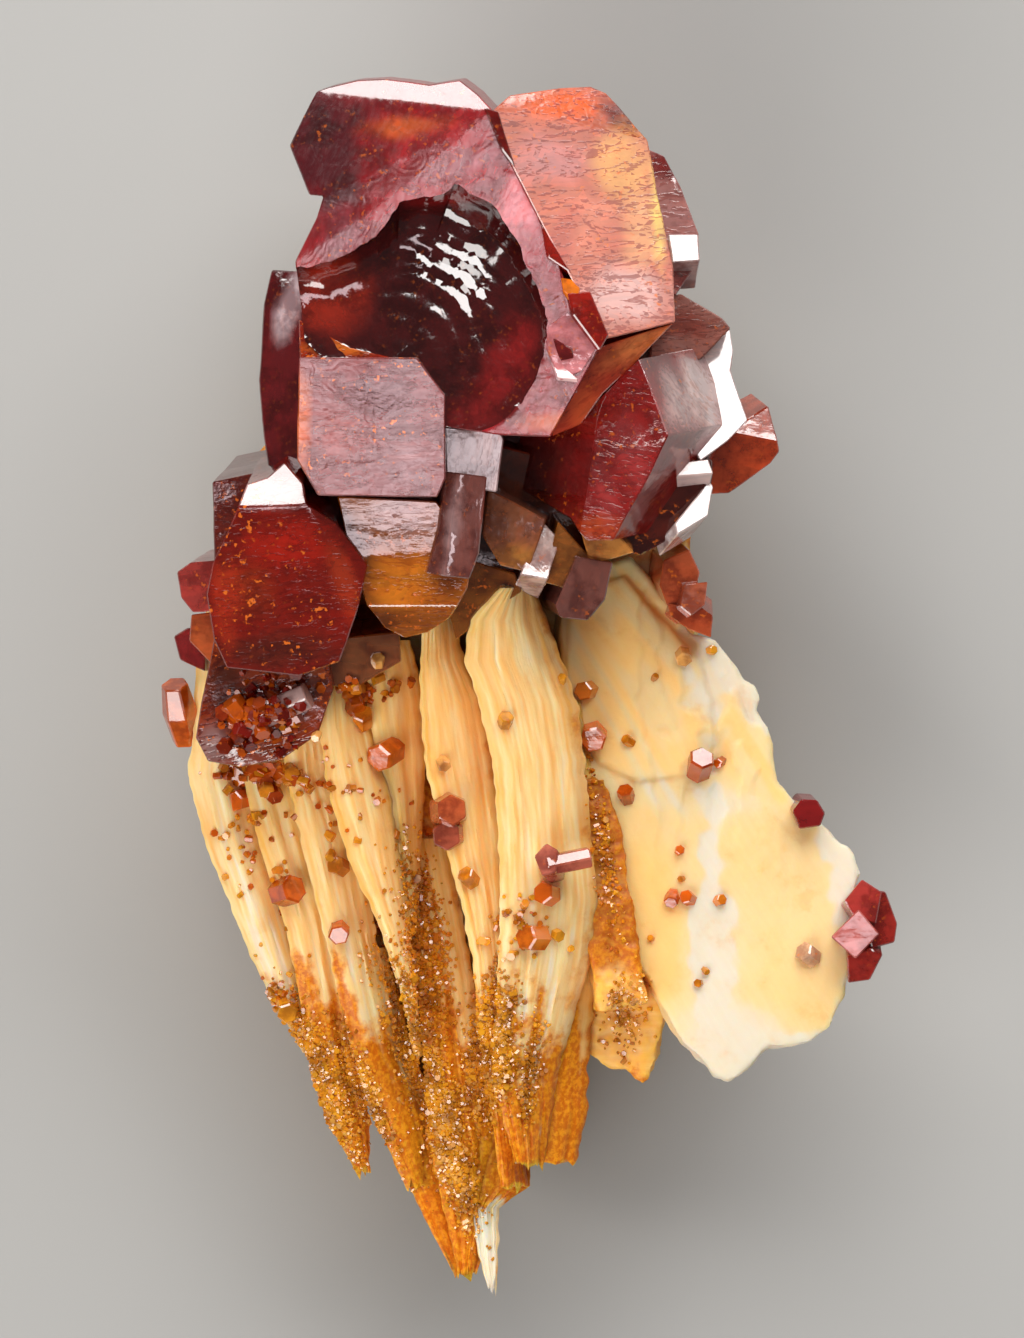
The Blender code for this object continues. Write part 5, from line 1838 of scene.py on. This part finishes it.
# Areas of druse: column and row of the middle, half sizes, turn, count, crystal size in pixels, redness
DRUSE_AREAS = (
    (322, 1080, 20, 95, -22, 1500, 2.7, 0.22),
    (418, 1065, 22, 115, -18, 2200, 2.7, 0.20),
    (362, 1090, 15, 75, -24, 900, 2.6, 0.20),
    (450, 1120, 16, 80, -16, 600, 2.6, 0.20),
    (424, 950, 24, 100, -8, 1500, 2.7, 0.28),
    (490, 1050, 26, 80, 6, 2000, 2.7, 0.20),
    (530, 1080, 14, 60, 8, 300, 2.7, 0.20),
    (268, 1004, 22, 22, 0, 120, 5.0, 0.35),
    (606, 860, 12, 90, -8, 300, 2.6, 0.30),
    (625, 1015, 26, 40, 0, 220, 2.6, 0.15),
    (455, 1180, 22, 60, -20, 500, 2.6, 0.15),
    (250, 860, 50, 90, -20, 40, 5.0, 0.35),
    (320, 800, 110, 60, 0, 60, 5.5, 0.40),
    (262, 776, 50, 14, 4, 46, 10.0, 0.55),
    (355, 690, 50, 20, 0, 36, 9.0, 0.50),
    (262, 712, 44, 40, 0, 130, 7.5, 0.85),
    (520, 925, 40, 40, 0, 40, 5.5, 0.30),
)


@dataclass
class SmallCrystals:
    """The small crystals that sit on the barite: the single ones and the druse."""

    finish: bpy.types.Material
    druse_finish: bpy.types.Material
    surface: BVHTree
    rng: np.random.Generator = field(default_factory=lambda: np.random.default_rng(7))

    def template(self, eased: bool) -> tuple[np.ndarray, list[tuple[int, ...]]]:
        """Models one short six-sided crystal, 1 long and 1 wide, with eased ends where asked."""
        clear_selection()
        bpy.ops.mesh.primitive_cylinder_add(vertices=6, radius=0.5, depth=1.0)
        piece = bpy.context.object
        if eased:
            apply_modifier(
                piece, "BEVEL", width=0.07, segments=1, limit_method="ANGLE", angle_limit=math.radians(70)
            )
        points = points_of(piece)
        faces = [tuple(face.vertices) for face in piece.data.polygons]
        bpy.data.objects.remove(piece)
        return points, faces

    def place(self, column: float, row: float) -> tuple[Vector, Vector] | None:
        """Finds the surface under a picture point, and its normal."""
        where, normal, _, _ = self.surface.ray_cast(at(column, row, 30), Vector((0, 0, -1)))
        return (where, normal) if where else None

    def tone(self, red: float) -> Colour:
        """Gives the colour of a crystal by how red it is."""
        levels = [level for level, _ in SMALL_TONES]
        parts = zip(*(colour for _, colour in SMALL_TONES))
        return tuple(float(np.interp(red, levels, part)) for part in parts)

    def gather(
        self, name: str, seats: list[tuple[Vector, Vector, float, float, float]], eased: bool
    ) -> bpy.types.Object:
        """Copies the crystal to each seat and joins the copies.

        Args:
            name: the piece's name.
            seats: place, axis, width and length in metres, and redness of each crystal.
            eased: whether their ends are eased.

        Returns:
            The joined piece.
        """
        shape, sides = self.template(eased)
        points, faces, tints = [], [], []
        for number, (place, axis, width, length, red) in enumerate(seats):
            spin = Matrix.Rotation(self.rng.uniform(0, 6.3), 3, "Z")
            turn = axis.to_track_quat("Z", "Y").to_matrix() @ spin
            scaled = shape * np.array((width, width, length))
            points.append(scaled @ np.array(turn).T + np.array(place))
            faces += [tuple(index + number * len(shape) for index in side) for side in sides]
            tints += [self.tone(red)] * len(shape)
        piece = from_arrays(name, np.concatenate(points), faces)
        clarity = np.full((len(tints), 1), SMALL_CLARITY)
        paint(piece, "tint", np.concatenate([np.array(tints), clarity], axis=1), "POINT")
        paint(piece, "habit", np.tile(SMALL_HABIT, (len(tints), 1)), "POINT")
        lay_grain(piece, points_of(piece)[corner_points(piece)][:, :2])
        piece.data.materials.append(self.finish if eased else self.druse_finish)
        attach(piece, "root")
        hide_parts("barite_matrix")
        return piece

    def build(self) -> list[bpy.types.Object]:
        """Makes the single crystals and the druse."""
        single = []
        for column, row, width, red in SMALL_CRYSTALS:
            seat = self.place(column, row)
            if seat:
                lean = Vector((*self.rng.uniform(-0.85, 0.85, 2), 1.0)).normalized()
                size = width * PIXEL
                length = size * self.rng.uniform(0.8, 1.2)
                single.append((seat[0] + lean * size * 0.15, lean, size, length, red))
        druse = []
        for column, row, half_wide, half_tall, turn, count, wide, redness in DRUSE_AREAS:
            spread = self.rng.normal(0, 0.45, (count, 2)) * (half_wide, half_tall)
            angle = math.radians(turn)
            for across, down in spread:
                spot = (
                    column + across * math.cos(angle) - down * math.sin(angle),
                    row + across * math.sin(angle) + down * math.cos(angle),
                )
                seat = self.place(*spot)
                if not seat:
                    continue
                size = float(self.rng.lognormal(math.log(wide), 0.34)) * PIXEL
                lean = (seat[1] + Vector(self.rng.normal(0, 0.6, 3))).normalized()
                druse.append((seat[0], lean, size, size * 1.1, redness * self.rng.uniform(0.5, 1.4)))
        third = len(druse) // 3
        return [
            self.gather("single_crystals", single, True),
            self.gather("druse_left", druse[:third], False),
            self.gather("druse_middle", druse[third : 2 * third], False),
            self.gather("druse_right", druse[2 * third :], False),
        ]


class Studio:
    """The camera, the soft lights and the pale floor."""

    DISTANCE = 0.60
    FOCUS_HEIGHT = 0.012
    SENSOR = 36.0
    AIM = Vector((0.0, 0.003, 0.010))
    ROOM_COLOUR = (0.50, 0.49, 0.50, 1.0)
    ROOM_STRENGTH = 0.10
    FLOOR_COLOUR = (0.36, 0.36, 0.35, 1.0)
    FLOOR_SIZE = 3.0
    FLOOR_GAP = 0.00002

    def build(self) -> None:
        """Adds the camera, the floor and the lights."""
        self.camera()
        self.floor()
        self.light("top_light", (0.03, 0.33, 0.26), (0.52, 0.30), 6.5, (1.0, 0.98, 0.96))
        self.light("low_light", (-0.22, -0.30, 0.30), (0.50, 0.30), 4.8, (1.0, 0.97, 0.94))
        self.light("right_light", (0.40, 0.16, 0.38), (0.24, 0.26), 1.0, (1.0, 0.93, 0.90))
        self.light("front_light", (0.00, -0.035, 0.78), (0.17, 0.12), 3.3, (1.0, 0.84, 0.88))
        world = bpy.data.worlds.new("room")
        world.use_nodes = True
        background = world.node_tree.nodes["Background"]
        background.inputs["Color"].default_value = self.ROOM_COLOUR
        background.inputs["Strength"].default_value = self.ROOM_STRENGTH
        bpy.context.scene.world = world
        bpy.context.scene.view_settings.view_transform = "Standard"

    def camera(self) -> None:
        """Sets the camera straight above the specimen, looking down."""
        data = bpy.data.cameras.new("camera")
        frame_tall = PICTURE_TALL * PIXEL
        data.sensor_width = self.SENSOR
        data.lens = self.SENSOR * self.DISTANCE / frame_tall
        data.clip_start = 0.01
        camera = bpy.data.objects.new("camera", data)
        bpy.context.scene.collection.objects.link(camera)
        middle = at(PICTURE_WIDE / 2, PICTURE_TALL / 2, 0)
        camera.location = (middle.x, middle.y, self.DISTANCE + self.FOCUS_HEIGHT)
        bpy.context.scene.camera = camera

    def floor(self) -> None:
        """Adds the pale floor that the specimen lies on."""
        clear_selection()
        bpy.ops.mesh.primitive_plane_add(size=self.FLOOR_SIZE, location=(0, 0, -self.FLOOR_GAP))
        floor = bpy.context.object
        floor.name = "floor"
        wiring = Wiring("floor_paint")
        wiring.shader.inputs["Base Color"].default_value = self.FLOOR_COLOUR
        wiring.shader.inputs["Roughness"].default_value = 0.8
        floor.data.materials.append(wiring.material)

    def light(self, name: str, place: Direction, size: Point, radiance: float, colour: Colour) -> None:
        """Adds a soft light that points at the specimen.

        Args:
            name: the light's name.
            place: where it stands, in metres.
            size: its width and height in metres.
            radiance: how bright it looks, where 1 is white in the picture.
            colour: its colour.
        """
        data = bpy.data.lights.new(name, "AREA")
        data.shape = "RECTANGLE"
        data.size, data.size_y = size
        data.energy = radiance * math.pi * size[0] * size[1]
        data.color = colour
        lamp = bpy.data.objects.new(name, data)
        bpy.context.scene.collection.objects.link(lamp)
        lamp.location = place
        lamp.rotation_euler = (self.AIM - Vector(place)).to_track_quat("-Z", "Y").to_euler()


def surface_of(pieces: list[bpy.types.Object]) -> BVHTree:
    """Makes a search tree of several pieces' surfaces."""
    mesh = bmesh.new()
    for piece in pieces:
        mesh.from_mesh(piece.data)
    tree = BVHTree.FromBMesh(mesh)
    mesh.free()
    return tree


def report(piece: bpy.types.Object) -> None:
    """Logs a finished piece and its size."""
    LOG.info("%s: %d faces", piece.name, len(piece.data.polygons))


def main() -> None:
    """Builds the specimen and the studio."""
    logging.basicConfig(level=logging.INFO, format="%(message)s")
    Studio().build()
    large = Vanadinite("vanadinite_large").material()
    small = Vanadinite("vanadinite_small", streaks=0.6, relief=0.6, index=2.0).material()
    grains = Vanadinite("vanadinite_druse", streaks=0.0, relief=0.2, index=1.8).material()
    barite = Barite("barite").material()
    smooth_barite = Barite("barite_plate", fibrous=0.22, depth=0.0016, tone=0.84).material()

    crystals = (GIANT, BLOCK, FOOT, *SEAM_FACETS, *LEFT_CRYSTALS, *RIGHT_CRYSTALS, *MIDDLE_CRYSTALS)
    cluster = Cluster("main_crystals", "main_cluster", crystals, large, "vanadinite", hollow=Hollow())
    main_crystals = cluster.build()
    report(main_crystals)
    groups = (
        ("left_rim_crystal", "left_edge_crystal", LEFT_EDGE),
        ("shoulder_group", "shoulder_crystals", SHOULDER_CRYSTALS),
        ("plate_rim_group", "plate_edge_cluster", PLATE_EDGE_CLUSTER),
        ("plate_rim_crystal", "plate_edge_crystal", PLATE_EDGE_CRYSTAL),
        ("bar_on_blade", "blade_bar", BLADE_BAR),
        ("knob_on_blade", "blade_knob", BLADE_KNOB),
    )
    for name, node, members in groups:
        report(Cluster(name, node, members, small, "vanadinite_small", 0.00025, Face.SMALL).build())
    matrix = [Blades(barite).build(), *Plate(smooth_barite, barite).build(), Root(barite).build()]
    for piece in matrix:
        report(piece)
    for piece in SmallCrystals(small, grains, surface_of([main_crystals, *matrix])).build():
        report(piece)


if __name__ == "__main__":
    main()
